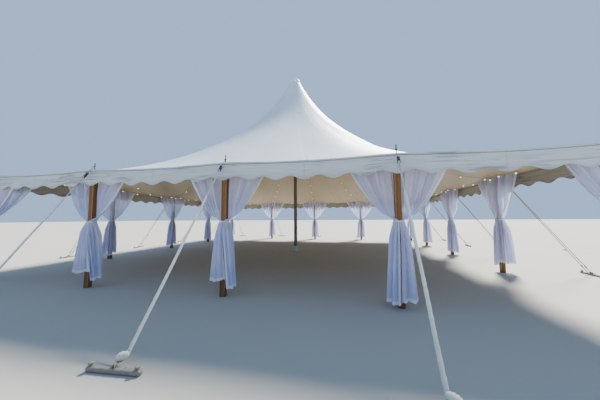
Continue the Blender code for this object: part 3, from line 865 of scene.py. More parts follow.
dome = cap_points()
flat = flat_of(np.arange(CAP_SIDES) * (GORE / 12), run_of(dome[:, 0]))
cap = show("peak_cap_cloth", woven("peak_cap_cloth", dome, flat, round_=True), roof_vinyl)
merged(cap.data, 1e-6)
thickened(cap, 0.003, -1.0)
band = hose("hem", [(0.2318 * math.cos(a), 0.2318 * math.sin(a), CROWN - 0.012 + 0.0015 * math.sin(5 * a))
                    for a in np.linspace(0, 2 * math.pi, CAP_SIDES + 1)], 0.0055, 8, capped=False)
merged(band, 1e-4)
cap.data = joined("peak_cap_cloth", [(cap.data, 0), (band, 0)])
cap.data.materials.append(roof_vinyl.material)
settle(cap, "roof_vinyl", "peak_cap")
print("peak cap:", facets(cap.data), "triangles")

# %% [markdown]
# ## Timber
# The side poles are sawn square and stained red-brown; the mast is a turned pole, greyer
# and more weathered. Grain is noise stretched along the pole. The stain is thin on the
# corners, which rub against everything, and the foot has soaked up mud.

# %% Timber finish
def timber(name, dark, light, worn, scale=1.0):
    """Stained wood: grain and rings, rubbed corners and a muddy foot."""
    finish = Finish(name, Specular_IOR_Level=0.35)
    at = finish.place()
    x, y, z = (at.part(axis) for axis in "XYZ")
    grain = finish.noise((x * 34.0 * scale, y * 34.0 * scale, z * 0.9), 1.0, 6.0, 0.62)
    fine = finish.noise((x * 190.0, y * 190.0, z * 4.0), 1.0, 2.0)
    swirl = finish.noise((x * 9.0, y * 9.0, z * 0.8), 1.0, 3.0)
    rings = (x * 60.0 + y * 43.0 + swirl * 14.0).sine()
    patch = finish.noise((x * 3.0, y * 3.0, z * 1.1), 1.4, 3.0)
    rub = (finish.attribute("corner") + finish.noise(at, 21.0, 4.0) * 0.7).ease(0.86, 1.25)
    mud = (1 - z.ease(0.0, 0.24)) * finish.noise(at, 9.0, 4.0).ease(0.3, 0.7)
    colour = finish.coats(dark, (grain.ease(0.3, 0.72) * 0.7 + rings * 0.1 + fine * 0.2, light),
                          (patch.ease(0.45, 0.75) * 0.4, dark), (rub * 0.7, worn),
                          (mud * 0.7, (0.13, 0.095, 0.06)))
    finish.set(Base_Color=colour, Roughness=grain * 0.2 + mud * 0.25 + rub * 0.15 + 0.42)
    finish.bump(grain * 0.6 + fine * 0.35, 0.0022)
    return finish


post_wood = timber("post_wood", (0.105, 0.045, 0.014), (0.290, 0.128, 0.037), (0.40, 0.23, 0.10))
mast_wood = timber("mast_wood", (0.125, 0.108, 0.080), (0.280, 0.240, 0.180), (0.40, 0.35, 0.27), 0.8)
print("two stains")

# %% Side pole's wood
POST_TOP, PIN_TOP = 2.4285, 2.61  # the wood ends under the roof's cloth, and the pin goes through it


def post_mesh(seed):
    """A square pole with eased corners, a little bowed and knocked."""
    rng = np.random.default_rng(seed)
    half, cut = POST / 2, 0.009
    inner = half - 0.022
    ring, corner = [], []
    for turns in range(4):
        turn = np.linalg.matrix_power(np.array([[0, -1], [1, 0]]), turns)
        for px, py, edge in ((half, -half + cut, 1), (half, -inner, 0), (half, inner, 0),
                             (half, half - cut, 1), (half - cut * 0.3, half - cut * 0.3, 1)):
            ring.append(turn @ np.array([px, py]))
            corner.append(edge)
    ring, corner = np.array(ring), np.array(corner)
    heights = [0.0, 0.004, 0.01, *np.linspace(0.1, POST_TOP - 0.06, 18), POST_TOP - 0.004, POST_TOP]
    sizes = [0.93, 0.975, *([1.0] * 19), 0.985, 0.965]
    bow = rng.normal(0, 0.0012, 2)
    points = []
    for z, size in zip(heights, sizes):
        knock = rng.normal(0, 0.0004, ring.shape)
        sway = bow * math.sin(math.pi * z / POST_TOP)
        points.append(np.concatenate([ring * size + knock + sway, np.full((len(ring), 1), z)], axis=1))
    foot, head = (np.tile([0.0, 0.0, z], (len(ring), 1)) for z in (0.0, POST_TOP))
    points = np.stack([foot, *points, head])
    body = woven("post", points, flat_of(np.arange(len(ring)) * 0.02, points[:, 0, 2]), round_=True)
    mark(body, "corner", np.tile(corner, len(points)))
    merged(body, 1e-6)
    body.set_sharp_from_angle(angle=math.radians(28))
    return body


print("the wood of a side pole has", facets(post_mesh(0)), "triangles")

# %% Side poles
def collar_and_pin():
    """The steel at a pole's head: a thin plate, the pin and a washer on the cloth."""
    cloth = EAVE + BAND_SLOPE * (EDGE - HALF) + VINYL
    pin = [(0.0, POST_TOP - 0.03), (0.0095, POST_TOP - 0.03), (0.0095, PIN_TOP - 0.014),
           (0.0088, PIN_TOP - 0.008), (0.0065, PIN_TOP - 0.003), (0.003, PIN_TOP - 0.0005), (0.0, PIN_TOP)]
    washer = [(0.0105, 0.0), (0.030, -0.001), (0.031, 0.001), (0.030, 0.003), (0.0105, 0.004), (0.0105, 0.0)]
    plate = slab("plate", (0, 0, POST_TOP - 0.0022), (POST * 0.9, POST * 0.9, 0.004), 0.001)
    parts = (plate, lathe("pin", pin, 16), lathe("washer", washer, 24, (0.0, 0.0, cloth)))
    return [(part, 1) for part in parts]


for seed, (name, matrix) in enumerate(STATIONS.items()):
    mesh = joined("pole_" + name, [(post_mesh(seed), 0), *collar_and_pin()])
    mesh.transform(matrix)
    post = settle(show("pole_" + name, mesh, post_wood, black_steel), "post_wood", "side_pole_" + name)
print("a side pole has", facets(post.data), "triangles")

# %% Mast
def mast_mesh():
    """The centre pole: a turned shaft in two lengths, sleeved in the middle."""
    top = RIM_LOW - 0.001
    heights = np.linspace(0.02, top, 40)
    shaft = hose("shaft", [(0.0015 * math.sin(z * 1.3), 0.0015 * math.cos(z * 0.9), z) for z in heights],
                 [0.0705 + 0.001 * math.sin(2.1 * z) for z in heights], 32)
    foot = ((0.0, 0.018), (0.086, 0.018), (0.086, 0.03), (0.0765, 0.036), (0.0765, 0.21), (0.0735, 0.216),
            (0.0, 0.216))
    sleeve = ((0.070, 3.62), (0.0755, 3.62), (0.0765, 3.63), (0.0765, 4.02), (0.0755, 4.03), (0.070, 4.03),
              (0.070, 3.62))
    head = ((0.0, top - 0.12), (0.0735, top - 0.12), (0.0755, top - 0.116), (0.0755, top - 0.004),
            (0.072, top), (0.0, top))
    pin = ((0.0, top - 0.01), (0.018, top - 0.01), (0.018, top + 0.07), (0.014, top + 0.075),
           (0.0, top + 0.075))
    spike = ((0.0, 0.019), (0.018, 0.019), (0.018, 0.024), (0.010, 0.028), (0.0, 0.029))
    bolt = ((0.0, 0.0), (0.011, 0.0), (0.011, 0.005), (0.006, 0.009), (0.0, 0.01))
    steel_parts = [lathe("foot", foot, 32), lathe("sleeve", sleeve, 32), lathe("head", head, 32),
                   lathe("pin", pin, 20), slab("plate", (0, 0, 0.0102), (0.36, 0.36, 0.0195), 0.004)]
    steel_parts += [lathe("spike", spike, 12, (x, y, 0.0)) for x in (-0.14, 0.14) for y in (-0.14, 0.14)]
    for z in (3.69, 3.96):
        for turns in range(4):
            out = Matrix.Rotation(turns * math.pi / 2 + 0.4, 3, "Z") @ Vector((1, 0, 0))
            facing = out.to_track_quat("Z", "Y").to_matrix().to_4x4()
            place = Matrix.Translation(out * 0.0755 + Vector((0, 0, z)))
            steel_parts.append(moved(lathe("bolt", bolt, 10), place @ facing))
    return joined("mast", [(shaft, 0), *((part, 1) for part in steel_parts)])


mast = settle(show("mast", mast_mesh(), mast_wood, galvanised), "mast_wood", "centre_pole")
print("mast:", facets(mast.data), "triangles")

# %% [markdown]
# ## Leg drapes
# Two sheer panels hang from the eave just inside each pole. A ribbon gathers them round
# the pole at chest height, with their outer edges pulled to the front, and below it they
# fall round the pole as two tails. Every row of points across a panel is a path on the
# plan: at the top it is straight, at the ribbon it wraps the pole, and in between it is a
# mix of the two. Real cloth doesn't stretch, so where its path is short its folds must be
# deep: the depth of a row's folds is found by halving, until the row is as long as the
# cloth is wide. A simulation would take minutes for 32 panels, and this rule gives the
# same fan of folds in a second.

# %% Sheer finish
def sheer_cloth(name, cool, shade, hem):
    """Thin woven cloth: clear where it is single, milky where its hem is doubled."""
    finish = Finish(name, Roughness=0.8, Specular_IOR_Level=0.2, Sheen_Weight=0.25, Sheen_Roughness=0.4)
    across, down = finish.cloth()
    foot = finish.attribute("above_foot")
    side_hem = across.ease(CLOTH - 0.082, CLOTH - 0.078)
    foot_hem = 1 - foot.ease(0.05, 0.053)
    stitch = 1 - (across - (CLOTH - 0.083)).size().ease(0.001, 0.003)
    warp = finish.noise((across * 700.0, down * 6.0, 0.0), 1.0, 1.0)
    slub = finish.noise((across * 5.0, down * 300.0, 0.0), 1.0, 1.0)
    cloud = finish.noise((across * 2.0, down * 1.4, 0.0), 1.5, 3.0)
    doubled = side_hem.maths("MAXIMUM", side_hem, foot_hem)
    colour = finish.coats(cool, (cloud.ease(0.35, 0.7) * 0.6 + warp * 0.15, shade), (doubled, hem),
                          (stitch * 0.4, tuple(c * 0.7 for c in shade)))
    alpha = doubled * 0.24 + warp * 0.05 + slub * 0.05 + 0.68
    finish.set(Base_Color=colour, Alpha=alpha)
    finish.bump(warp * 0.5 + slub * 0.5 + doubled * 0.6, 0.0008)
    # the light through the sheer is tinted blue too: painted blue shade
    finish.glow(0.24, (0.76, 0.81, 1.0))
    return finish


CLOTH, TIE, PANEL_REACH = 1.15, 1.345, 0.87  # a panel's width, its ribbon's height, its reach at the eave
# painted blue shade: the sheer's white is tinted blue-violet, single and doubled alike, to stand for the
# sky's shade
sheer = sheer_cloth("sheer_drape", (0.74, 0.76, 0.98), (0.58, 0.60, 0.86), (0.86, 0.87, 1.0))
print("a panel is cut", CLOTH, "m wide")

# %% The fold rule
def ease(value, low, high):
    """0 below low, 1 above high, and a soft ramp between them."""
    share = np.clip((value - low) / (high - low), 0, 1)
    return share * share * (3 - 2 * share)


def folded(path, shape, width, deepest):
    """Moves each row's points off its path in folds, until the row is width long."""
    along = np.gradient(path, axis=1)
    across = np.stack([along[..., 1], -along[..., 0]], axis=-1)
    across /= np.linalg.norm(across, axis=-1, keepdims=True)
    shallow, deep = np.zeros(len(path)), deepest.copy()
    for _ in range(18):
        depth = (shallow + deep) / 2
        moved_path = path + across * (shape * depth[:, None])[..., None]
        short = np.linalg.norm(np.diff(moved_path, axis=1), axis=-1).sum(axis=1) < width
        shallow, deep = np.where(short, depth, shallow), np.where(short, deep, depth)
    return moved_path


print("cloth keeps its width")

# %% The path of a row
COLUMNS, UPPER, LOWER = 90, 38, 30  # points across a panel, and its rows over and under the tie
NECK, TAIL_WIDE, TAIL_DEEP = 0.066, 0.125, 0.09  # radius at the ribbon, and how far the tails spread below it
FOLDS = 3.4                         # broad folds across a panel


def wrap(u, drop, corner, spread, lap):
    """The path round the pole: close at the ribbon, wide below it, from back to front."""
    back, front = (0.72, -0.21) if corner else (0.965, 0.010)
    front = front + lap * drop ** 0.6
    angle = math.pi * (back + (front - back) * u)
    side, out = np.sin(angle), -np.cos(angle)
    close = NECK / (side ** 4 + out ** 4) ** 0.25
    grow = drop ** 0.55
    return np.stack([side * (close + TAIL_WIDE * spread * grow),
                     out * (close + TAIL_DEEP * spread * grow) - 0.045 * grow], axis=-1)


print("a panel has", COLUMNS, "points across and", UPPER + LOWER, "down")

# %% Points of a panel
def panel_points(seed, hem, tilt, lap, corner):
    """One panel: out along +X from its pole above the ribbon, round the pole below it."""
    rng = np.random.default_rng(seed)
    a, b, c, d = rng.uniform(0, 2 * math.pi, 4)
    u = np.linspace(0, 1, COLUMNS)[None, :]
    h = np.concatenate([(1 - np.linspace(0, 1, UPPER)) ** 1.45, np.zeros(LOWER)])[:, None]
    drop = np.concatenate([np.zeros(UPPER), np.linspace(0, 1, LOWER + 1)[1:] ** 1.15])[:, None]
    start = 0.075 if corner else 0.004
    line = np.stack([start + (PANEL_REACH - start) * u, 0.09 - 0.05 * u], axis=-1)
    share = (h ** rng.uniform(0.54, 0.64) * ease(h, -0.01, 0.11))[..., None]
    path = wrap(u, drop, corner, rng.uniform(0.9, 1.1), lap) * (1 - share) + line * share
    uneven = u + 0.020 * np.sin(4 * math.pi * u + d) + 0.012 * np.sin(2.2 * drop - 1.3 * h + b)
    folds = 2 * math.pi * FOLDS * uneven + c
    broad = np.sin(folds + 0.55 * np.sin(folds + a)) * (0.8 + 0.3 * np.sin(7 * u + b))
    fine = np.sin(2 * folds + d) + 0.25 * np.sin(3.9 * folds + a)
    above = ease(h, 0.05, 0.55)
    shape = broad * (0.50 + 0.50 * above) + fine * (0.62 - 0.48 * above)
    calm = (1 - 0.85 * ease(u, 0.90, 0.97) * ease(h, 0.05, 0.3)) * (0.35 + 0.65 * ease(u, 0.0, 0.08))
    deepest = 0.0125 + 0.075 * ease(h, 0.0, 0.45) + 0.055 * ease(drop, 0.0, 0.30)
    place = folded(path, shape * calm, CLOTH, deepest[:, 0])
    top = EAVE + BAND_SLOPE * (EDGE - HALF + line[..., 1]) - 0.0135 - edge_sag(line[..., 0])
    lift = 0.010 * np.sin(folds + 0.7) * ease(drop, 0.55, 1.0)
    z = TIE + (top - TIE) * h - (TIE - hem - tilt * (u - 0.5)) * drop + lift
    points = np.concatenate([place, z[..., None]], axis=-1)
    return points, flat_of(u * CLOTH, run_of(points[:, COLUMNS // 2]))


points, flat = panel_points(1, 0.2, 0.0, 0.0, False)
print("a panel falls", round(float(flat[-1, 0, 1]), 2), "m, and its tail is",
      round(float(np.ptp(points[-1, :, 0])), 2), "m wide")

# %% Panels
HEMS = {"front_1": (0.19, 0.33), "front_2": (0.20, 0.30), "front_3": (0.13, 0.11)}
SLANTS = {"front_1": (-0.06, 0.04), "front_2": (-0.05, 0.06), "front_3": (0.03, -0.02)}
LAPS = {"front_1": 0.36, "front_2": 0.24, "front_3": -0.06}


def panel_mesh(name, mirrored, *shape):
    """A panel's mesh, and the length it is cut to."""
    points, flat = panel_points(*shape)
    if mirrored:
        points = points * np.array([-1.0, 1.0, 1.0])
    mesh = woven(name, points, flat, turn_over=not mirrored)
    mark(mesh, "above_foot", flat[-1:, :, 1] - flat[:, :, 1])
    return mesh, float(flat[-1, 0, 1])


rng = np.random.default_rng(7)
for number, (name, matrix) in enumerate(STATIONS.items()):
    corner, hems = name in CORNERS, HEMS.get(name, tuple(rng.uniform(0.10, 0.26, 2)))
    slants = SLANTS.get(name, tuple(rng.uniform(-0.05, 0.05, 2)))
    lap = LAPS.get(name, rng.uniform(-0.09, 0.09))
    for half, (hem, slant) in enumerate(zip(hems, slants)):
        over = 0.0 if corner else (1 - 2 * half) * lap
        mesh, length = panel_mesh(f"drape_cloth_{name}_{'ab'[half]}", half == 1, 40 + 2 * number + half,
                                  float(hem), float(slant), float(over), corner)
        mesh.transform(matrix @ quarter(-half if corner else 0))
        panel = settle(show(mesh.name, mesh, sheer), "sheer_drape", "drape_" + name)
print("a panel has", facets(panel.data), "triangles and", round(skin_of(panel.data), 2), "of",
      round(CLOTH * length, 2), "square metres")

# %% Ties
def tie_tree(tree, given):
    """A ribbon round the neck of every drape: one loop, set on each station."""
    loop = tree.geo("CurvePrimitiveCircle", Resolution=40, Radius=given("Radius"))
    ribbon = tree.geo("CurvePrimitiveQuadrilateral", Width=0.0022, Height=given("Width"))
    band = tree.geo("CurveToMesh", Curve=loop, Profile_Curve=ribbon)
    placed = tree.geo("InstanceOnPoints", Points=given("Geometry"), Instance=band)
    return tree.dressed(tree.gather(placed), given("Finish"))


spots = bpy.data.meshes.new("ties")
spots.from_pydata([tuple(matrix @ Vector((0, 0, TIE))) for matrix in STATIONS.values()], [], [])
ribbon = Finish("ribbon", Roughness=0.6)
weave = ribbon.noise(ribbon.place(), 60.0)
ribbon.set(Base_Color=ribbon.coats((0.74, 0.75, 0.82), (weave, (0.88, 0.89, 0.94))))
ties = baked(grown("drape_ties", tie_tree, spots, Radius=0.0885, Width=0.02, Finish=ribbon))
settle(ties, "sheer_drape")
merged(ties.data, 1e-5)
print("the ties have", facets(ties.data), "triangles")

# %% [markdown]
# ## Guys
# Every pole stands because a line pulls it outwards, from an eye on its pin to a bar that
# is staked to the ground. Along the front the lines are straps with a ratchet, in a white
# sleeve that is easy to see, with its spare cloth wound into a bundle at the foot.
# Elsewhere they are laid rope, doubled. A taut line is all but straight, so its character
# is in what is on it.

# %% Line finishes
ROPE, LAY = 0.007, 0.055  # radius of the rope, and the length of one turn of its strands


def sleeve_cloth(name, clean, soiled):
    """Woven cloth, creased all over and muddy towards its foot."""
    finish = Finish(name, Roughness=0.85, Specular_IOR_Level=0.2, Sheen_Weight=0.2)
    at = finish.place()
    weave = finish.noise(at, 480.0, 2.0)
    crease = finish.noise(at, 26.0, 4.0, 0.6)
    mud = (1 - at.part("Z").ease(0.03, 0.9)) * 0.45 + finish.noise(at, 6.0, 4.0).ease(0.5, 0.8) * 0.3
    finish.set(Base_Color=finish.coats(clean, (mud, soiled)))
    finish.bump(weave * 0.15 + crease * 0.85, 0.004)
    finish.glow(0.12, clean)
    return finish


def laid_rope(name, light, dark):
    """Three strands laid together, read from the coordinates round and along the rope."""
    finish = Finish(name, Roughness=0.9, Specular_IOR_Level=0.15)
    round_, along = finish.cloth()
    at = finish.place()
    strands = (round_ * (3.0 / ROPE) + along * (3 * 2 * math.pi / LAY)).sine()
    yarns = (round_ * (24.0 / ROPE) - along * (2 * math.pi / 0.006)).sine()
    fuzz = finish.noise(at, 300.0, 3.0)
    dirt = (1 - at.part("Z").ease(0.05, 0.7)) * 0.5
    # painted shade: the grooves between the strands are darkened
    groove_shade = 1 - strands.ease(-1.0, -0.35)
    finish.set(Base_Color=finish.coats(light, (groove_shade * 0.6 + fuzz * 0.25 + dirt * 0.5, dark)))
    finish.bump(strands.ease(-1.0, 1.0) * 0.75 + yarns * 0.08 + fuzz * 0.12, 0.0022)
    return finish


guy_cover = sleeve_cloth("guy_cover", (0.80, 0.81, 0.79), (0.46, 0.45, 0.39))
webbing = sleeve_cloth("webbing", (0.56, 0.57, 0.55), (0.30, 0.30, 0.27))
guy_rope = laid_rope("guy_rope", (0.38, 0.23, 0.105), (0.13, 0.075, 0.03))
slide_wood = timber("slide_wood", (0.16, 0.09, 0.045), (0.36, 0.23, 0.12), (0.45, 0.33, 0.21))
# painted shade: the bar is coloured darker than its own pale grey, to stand for the shade it lies in
bar_steel = steel("bar_steel", (0.30, 0.295, 0.26), (0.17, 0.165, 0.14), -0.02, 0.7, metal=0.25)
print("cover, strap, rope, slide and bar")

# %% The line
REACHES = (1.86, 2.19)  # from a pole to its stake bar, and at the poles that swing their line aside
SWINGS = {"front_2": 0.059, "front_3": -0.046, "back_2": 0.059, "back_3": -0.046}
LOW, INSET, EYE = 0.105, 0.16, 0.0178  # the lower end's height, its gap to the bar, and the eye's radius
SKIN_OUT, CLEAR, THICK = EDGE + 0.0053, 0.004, 0.009  # what the line passes over, how far, and half its depth


class Line:
    """A guy line in its own plane: out along -Y from the pin to the ground."""

    def __init__(self, bar):
        self.bar, self.reach = bar, bar - INSET
        slant = math.hypot(1.0, (EAVE + CLEAR - LOW) / self.reach)
        share = (SKIN_OUT - HALF) / self.reach
        self.top = (EAVE + CLEAR + THICK * slant - LOW * share) / (1 - share)
        run = self.at(1.0) - self.at(0.0)
        self.long, self.turn = run.length, run.to_track_quat("Z", "X").to_matrix().to_4x4()

    def at(self, share, aside=0.0, over=0.0):
        """A point on the line, 0 at the pin and 1 at its lower end."""
        out = EYE + (self.reach - EYE) * share
        lift = Vector((0, self.top - LOW, -self.reach)).normalized() * -over
        return Vector((aside, -out, self.top + (LOW - self.top) * out / self.reach)) + lift

    def carry(self, mesh, share):
        """Sets a part that was made about the origin, along +Z, on the line."""
        return moved(mesh, Matrix.Translation(self.at(share)) @ self.turn)


print("the lines are", [round(Line(reach).long, 2) for reach in REACHES], "m long")

# %% Stake bar
STAKE_HEAD = ((0.0, 0.02), (0.0135, 0.02), (0.0140, 0.057), (0.018, 0.062), (0.0235, 0.065), (0.0250, 0.071),
              (0.0230, 0.078), (0.015, 0.082), (0.0, 0.0825))
COLLAR = ((0.014, 0.042), (0.024, 0.042), (0.024, 0.048), (0.014, 0.049), (0.014, 0.042))


def ring_mesh(name, centre, radius, wire, turn, sides):
    """A welded ring of round wire."""
    loop = [(radius * math.cos(a), radius * math.sin(a), 0.0) for a in np.linspace(0, 2 * math.pi, sides + 1)]
    mesh = hose(name, loop, wire, 8, capped=False)
    merged(mesh, 1e-5)
    mesh.transform(Matrix.Translation(centre) @ turn)
    return mesh


def stake_bar(reach):
    """A rounded bar, two driven stakes with mushroomed heads, and the lug of the line."""
    parts = [slab("bar", (0, -reach, 0.0225), (0.56, 0.055, 0.045), 0.0205, 5)]
    for along in (-0.24, 0.24):
        place = (along, -reach, 0.0)
        parts += [lathe("stake", STAKE_HEAD, 14, place), lathe("collar", COLLAR, 16, place)]
    for side in (-1, 1):
        parts += [slab("lug", (side * 0.017, -reach + 0.004, 0.058), (0.006, 0.04, 0.036), 0.0025),
                  slab("strap", (side * 0.10, -reach, 0.0242), (0.022, 0.0575, 0.0475), 0.0205, 5)]
    parts.append(hose("bolt", [(x, -reach + 0.008, 0.064) for x in (-0.026, 0.0, 0.026)], 0.0055, 8))
    return parts


print("a stake bar has", sum(facets(part) for part in stake_bar(REACHES[0])), "triangles")

# %% Ratchet
AXLE, RATCHET_AT = 0.104, 0.07  # the axle's height on the ratchet, and the ratchet's share of the line
HOOK = ((0.012, 0.012), (0.006, 0.0), (0.014, -0.010), (0.03, -0.006), (0.05, 0.0), (0.075, 0.0))


def ratchet(line):
    """Side plates, spindle, wound strap, handle and the hook that holds the eye."""
    parts = []
    for side in (-1, 1):
        cog = lathe("cog", ((0.0, -0.0015), (0.017, -0.0015), (0.017, 0.0015), (0.0, 0.0015)), 16)
        cog.transform(Matrix.Translation((0, side * 0.0175, AXLE)) @ Matrix.Rotation(math.pi / 2, 4, "X"))
        parts += [(slab("plate", (0, side * 0.0215, 0.075), (0.030, 0.003, 0.138), 0.0012), 0), (cog, 0)]
    for name, half, radius, sides, slot in (("spindle", 0.025, 0.0065, 10, 0),
                                            ("wound", 0.0145, 0.0135, 18, 2)):
        parts.append((hose(name, [(0, y, AXLE) for y in (-half, 0.0, half)], radius, sides), slot))
    parts += [(slab("handle", (0.0155, 0, 0.055), (0.004, 0.036, 0.095), 0.0015), 0),
              (slab("grip", (0.018, 0, 0.012), (0.009, 0.046, 0.022), 0.003), 0)]
    hook = hose("hook", [line.at(share, 0.0, over) for share, over in HOOK], 0.0045, 8)
    return [*((line.carry(part, RATCHET_AT), slot) for part, slot in parts), (hook, 0)]


print("a ratchet has", sum(facets(part) for part, _ in ratchet(Line(REACHES[0]))), "triangles")

# %% Sleeve and bundle
SLEEVE_TOP, SLEEVE_END, SLEEVE_STEPS = 0.31, 1.01, 120  # shares of the line, and rings along the sleeve


def bundle_mesh(centre, side):
    """The sleeve's spare cloth, wound round and round into an egg."""
    along = np.linspace(-1, 1, 60)
    round_off = np.sqrt(np.clip(1 - along ** 2, 0, 1))
    wraps = (along + 1) * 2.4 % 1
    radii = (0.0330 * (1 - 0.08 * along) + 0.0105 * (1 - wraps)) * round_off + 1e-4
    axis = Vector((-side * 0.86, 0.1, 0.50)).normalized() * 0.066
    return hose("bundle", [centre + axis * a for a in along], radii, 28)


def sleeve_mesh(line, rng):
    """A gathered tube round the strap, wider and more puckered towards its foot."""
    shares = np.linspace(SLEEVE_TOP, SLEEVE_END, SLEEVE_STEPS)
    grow = (shares - SLEEVE_TOP) / (SLEEVE_END - SLEEVE_TOP)
    pucker = (0.0010 * np.sin(shares * 173 + rng.uniform(0, 6)) + 0.0008 * np.sin(shares * 311)
              + rng.normal(0, 0.0003, SLEEVE_STEPS)) * (0.5 + grow)
    radii = (0.0165 + 0.0035 * grow + pucker) * np.minimum(1, 0.55 + (shares - SLEEVE_TOP) * 40)
    path = [line.at(s, 0.0015 * math.sin(19 * s), 0.0015 * math.sin(13 * s)) for s in shares]
    return hose("sleeve", path, radii, 16, 0.82)


print("a bundle has", facets(bundle_mesh(Vector((0, 0, 0)), 1)), "triangles")

# %% Sleeved line
def sleeved_line(line, seed):
    """Strap, ratchet, sleeve and bundle. Finishes: steel, bar, strap, cover."""
    side = -1 if seed % 2 else 1
    tail = [line.at(0.10 + 0.016 * i, 0.004 * i ** 0.7, 0.012 + 0.001 * i) for i in range(7)]
    centre = line.at(1.008) + Vector((0.0115 + side * 0.0235, -0.046, 0.006))
    parts = [*ratchet(line), *((part, 1) for part in stake_bar(line.bar)),
             (hose("strap", [line.at(s) for s in np.linspace(0.10, 0.34, 8)], 0.0125, 8, 0.16), 2),
             (hose("strap_end", tail, 0.0115, 8, 0.14), 2),
             (sleeve_mesh(line, np.random.default_rng(seed)), 3),
             (ring_mesh("cord", line.at(0.3175), 0.0150, 0.0022, line.turn, 20), 2),
             (bundle_mesh(centre, side), 3),
             (ring_mesh("cord", line.at(0.998), 0.0185, 0.0028, line.turn, 20), 2)]
    foot = Vector((0, -line.bar + 0.008, 0.064))
    for aside in (-0.010, 0.010):
        start = line.at(1.004, aside * 0.5)
        bend = start.lerp(foot, 0.55) + Vector((aside * 1.6, 0, -0.008))
        route = [start, start.lerp(bend, 0.5), bend, bend.lerp(foot, 0.6), foot]
        parts.append((hose("leg", route, 0.006, 8), 1))
    return parts


print("a sleeved line has", sum(facets(part) for part, _ in sleeved_line(Line(REACHES[1]), 0)), "triangles")

# %% Rope line
OVER_BAR = ((-0.010, 0.0515), (-0.032, 0.042), (-0.034, 0.012))  # the strand's way down behind the bar
SLIDE_AT = 0.80  # share of the line


def rope_line(line, seed):
    """Two strands from the eye to the bar. Finishes: steel, bar, rope, slide."""
    parts = [(part, 1) for part in stake_bar(line.bar)]
    for side in (-1, 1):
        head = line.at(0.0, side * 0.008) + Vector((0, 0, -0.012))
        foot = Vector((side * 0.05, -line.bar + 0.036, 0.052))
        run = [head.lerp(foot, s) + Vector((0.0015 * math.sin(9 * s + seed), 0, 0.001 * math.sin(14 * s)))
               for s in np.linspace(0, 1, 40)]
        run += [(side * 0.05, -line.bar + dy, z) for dy, z in OVER_BAR]
        parts.append((hose("strand", run, ROPE, 10), 2))
        for turn in range(4):
            place = head.lerp(foot, 0.93 + 0.006 * turn)
            parts.append((ring_mesh("knot", place, 0.010, 0.0055, line.turn, 14), 2))
    for turn in range(3):
        parts.append((ring_mesh("whipping", line.at(0.02 + 0.0045 * turn), 0.0135, 0.0042, line.turn, 16), 2))
    parts.append((line.carry(slab("slide", (0, 0, 0), (0.012, 0.085, 0.03), 0.004), SLIDE_AT), 3))
    return parts


print("a rope line has", sum(facets(part) for part, _ in rope_line(Line(REACHES[0]), 0)), "triangles")

# %% Twenty lines
PAIRS = {"front_left": (sleeved_line, rope_line), "front_right": (rope_line, sleeved_line),
         "back_right": (rope_line, rope_line), "back_left": (rope_line, rope_line)}
LOOKS = {sleeved_line: ((black_steel, bar_steel), (webbing, guy_cover), "guy_cover"),
         rope_line: ((galvanised, bar_steel), (guy_rope, slide_wood), "guy_rope")}


def hung(name, make, heading, seed, tag=""):
    """One line, split into its steel and its cloth or rope."""
    line = Line(REACHES[name in SWINGS])
    eye = ring_mesh("eye", Vector((0, 0, line.at(0.0).z)), EYE, 0.0062, Matrix.Identity(4), 28)
    parts = [(eye, 0), *make(line, seed)]
    hard = joined(f"guy_steel_{name}{tag}", [(mesh, slot) for mesh, slot in parts if slot < 2])
    soft = joined(f"guy_line_{name}{tag}", [(mesh, slot - 2) for mesh, slot in parts if slot >= 2])
    of_hard, of_soft, soft_slot = LOOKS[make]
    for mesh, finishes, slot in ((hard, of_hard, "galvanised_steel"), (soft, of_soft, soft_slot)):
        mesh.transform(STATIONS[name] @ Matrix.Rotation(heading, 4, "Z"))
        piece = settle(show(mesh.name, mesh, *finishes), slot, "guy_" + name)
    return piece


for seed, name in enumerate(STATIONS):
    if name in PAIRS:
        first, second = PAIRS[name]
        hung(name, first, 0.0, seed)
        last = hung(name, second, -math.pi / 2, seed + 30, "_aside")
    else:
        kind = sleeved_line if name.startswith("front") else rope_line
        last = hung(name, kind, SWINGS.get(name, 0.0), seed)
print("the last line has", facets(last.data), "triangles")

# %% [markdown]
# ## String lights
# Small warm bulbs hang on thin wire, all round under the edge and from each pole up to
# the mast. The wire is clipped to the roof's seams, so its route is the roof's own rule,
# a little lower. The tree takes that route, and sets a lamp every so often along it.

# %% Light routes
INSIDE, RUN_HEIGHT = 0.16, 2.505  # the side wires' distance from the row of poles, and their height
RUN_STEPS, SIDE_STEPS = 60, 160


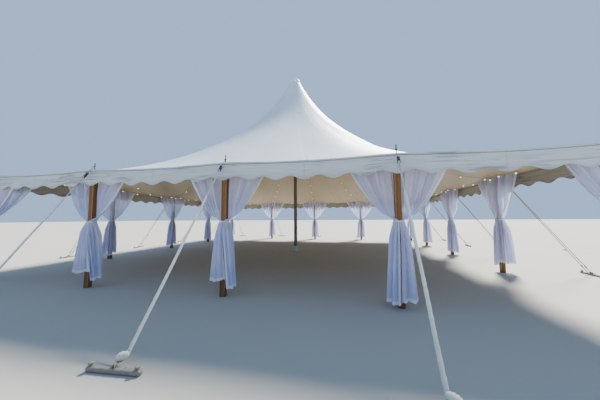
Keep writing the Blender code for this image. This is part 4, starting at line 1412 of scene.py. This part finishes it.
def light_runs():
    """The wire's places: sixteen runs up to the mast, and four along the sides."""
    for turns in range(4):
        turn = np.array(quarter(-turns, 3))
        for share in (-0.5, 0.0, 0.5, 1.0):
            steps = 1 - np.linspace(0.0, 0.965, RUN_STEPS)
            run = np.concatenate([roof_side(np.array([share]), step, 0.0) for step in steps])
            run[:, 2] -= 0.03 + 0.05 * np.abs(np.sin(np.linspace(0, 7 * math.pi, RUN_STEPS)))
            yield run @ turn
        along = np.linspace(-HALF + INSIDE, HALF - INSIDE, SIDE_STEPS)
        height = RUN_HEIGHT - edge_sag(along) - 0.06 * np.abs(np.sin(along / BAY * 2 * math.pi))
        yield np.stack([along, np.full(SIDE_STEPS, -HALF + INSIDE), height], axis=1) @ turn


points, edges = [], []
for run in light_runs():
    edges += [(len(points) + i, len(points) + i + 1) for i in range(len(run) - 1)]
    points += run.tolist()
route = bpy.data.meshes.new("light_string")
route.from_pydata(points, edges, [])
print("the wire's route has", len(points), "points")

# %% Lamp finishes
wire_skin = Finish("light_wire", Roughness=0.55)
dust = wire_skin.noise(wire_skin.place(), 40.0)
wire_skin.set(Base_Color=wire_skin.coats((0.012, 0.016, 0.012), (dust, (0.05, 0.055, 0.045))))
bulb_glass = Finish("bulb_glass", Roughness=0.12, Emission_Strength=2.0)
warm = bulb_glass.noise(bulb_glass.place(), 4.0)
bulb_glass.set(Base_Color=bulb_glass.coats((0.9, 0.72, 0.48), (warm, (0.95, 0.84, 0.66))),
               Emission_Color=bulb_glass.coats((1.0, 0.70, 0.36), (warm, (1.0, 0.82, 0.55))))
print("wire and glass")

# %% Light string
def string_tree(tree, given):
    """Wire along the route, and a lamp with its socket at every step."""
    line = tree.geo("MeshToCurve", Mesh=given("Geometry"))
    skin = tree.geo("CurvePrimitiveCircle", Resolution=5, Radius=given("Wire"))
    wire = tree.geo("CurveToMesh", Curve=line, Profile_Curve=skin, Fill_Caps=True)
    spots = tree.geo("CurveToPoints", {"mode": "LENGTH"}, Curve=line, Length=given("Step"))
    globe = tree.geo("MeshUVSphere", Segments=10, Rings=7, Radius=given("Bulb"))
    smooth = tree.geo("SetShadeSmooth", Geometry=tree.lifted(globe, -0.043))
    socket = tree.lifted(tree.geo("MeshCylinder", Vertices=8, Radius=0.009, Depth=0.028), -0.016)
    lamp = tree.gather(tree.dressed(smooth, given("Glass")), tree.dressed(socket, given("Skin")))
    lamps = tree.geo("InstanceOnPoints", Points=spots, Instance=lamp)
    return tree.gather(lamps, tree.dressed(wire, given("Skin")))


lights = grown("light_string", string_tree, route, Wire=0.0025, Step=0.62, Bulb=0.018, Glass=bulb_glass,
               Skin=wire_skin)
settle(baked(lights), "galvanised_steel")
print("the lights have", facets(lights.data), "triangles")
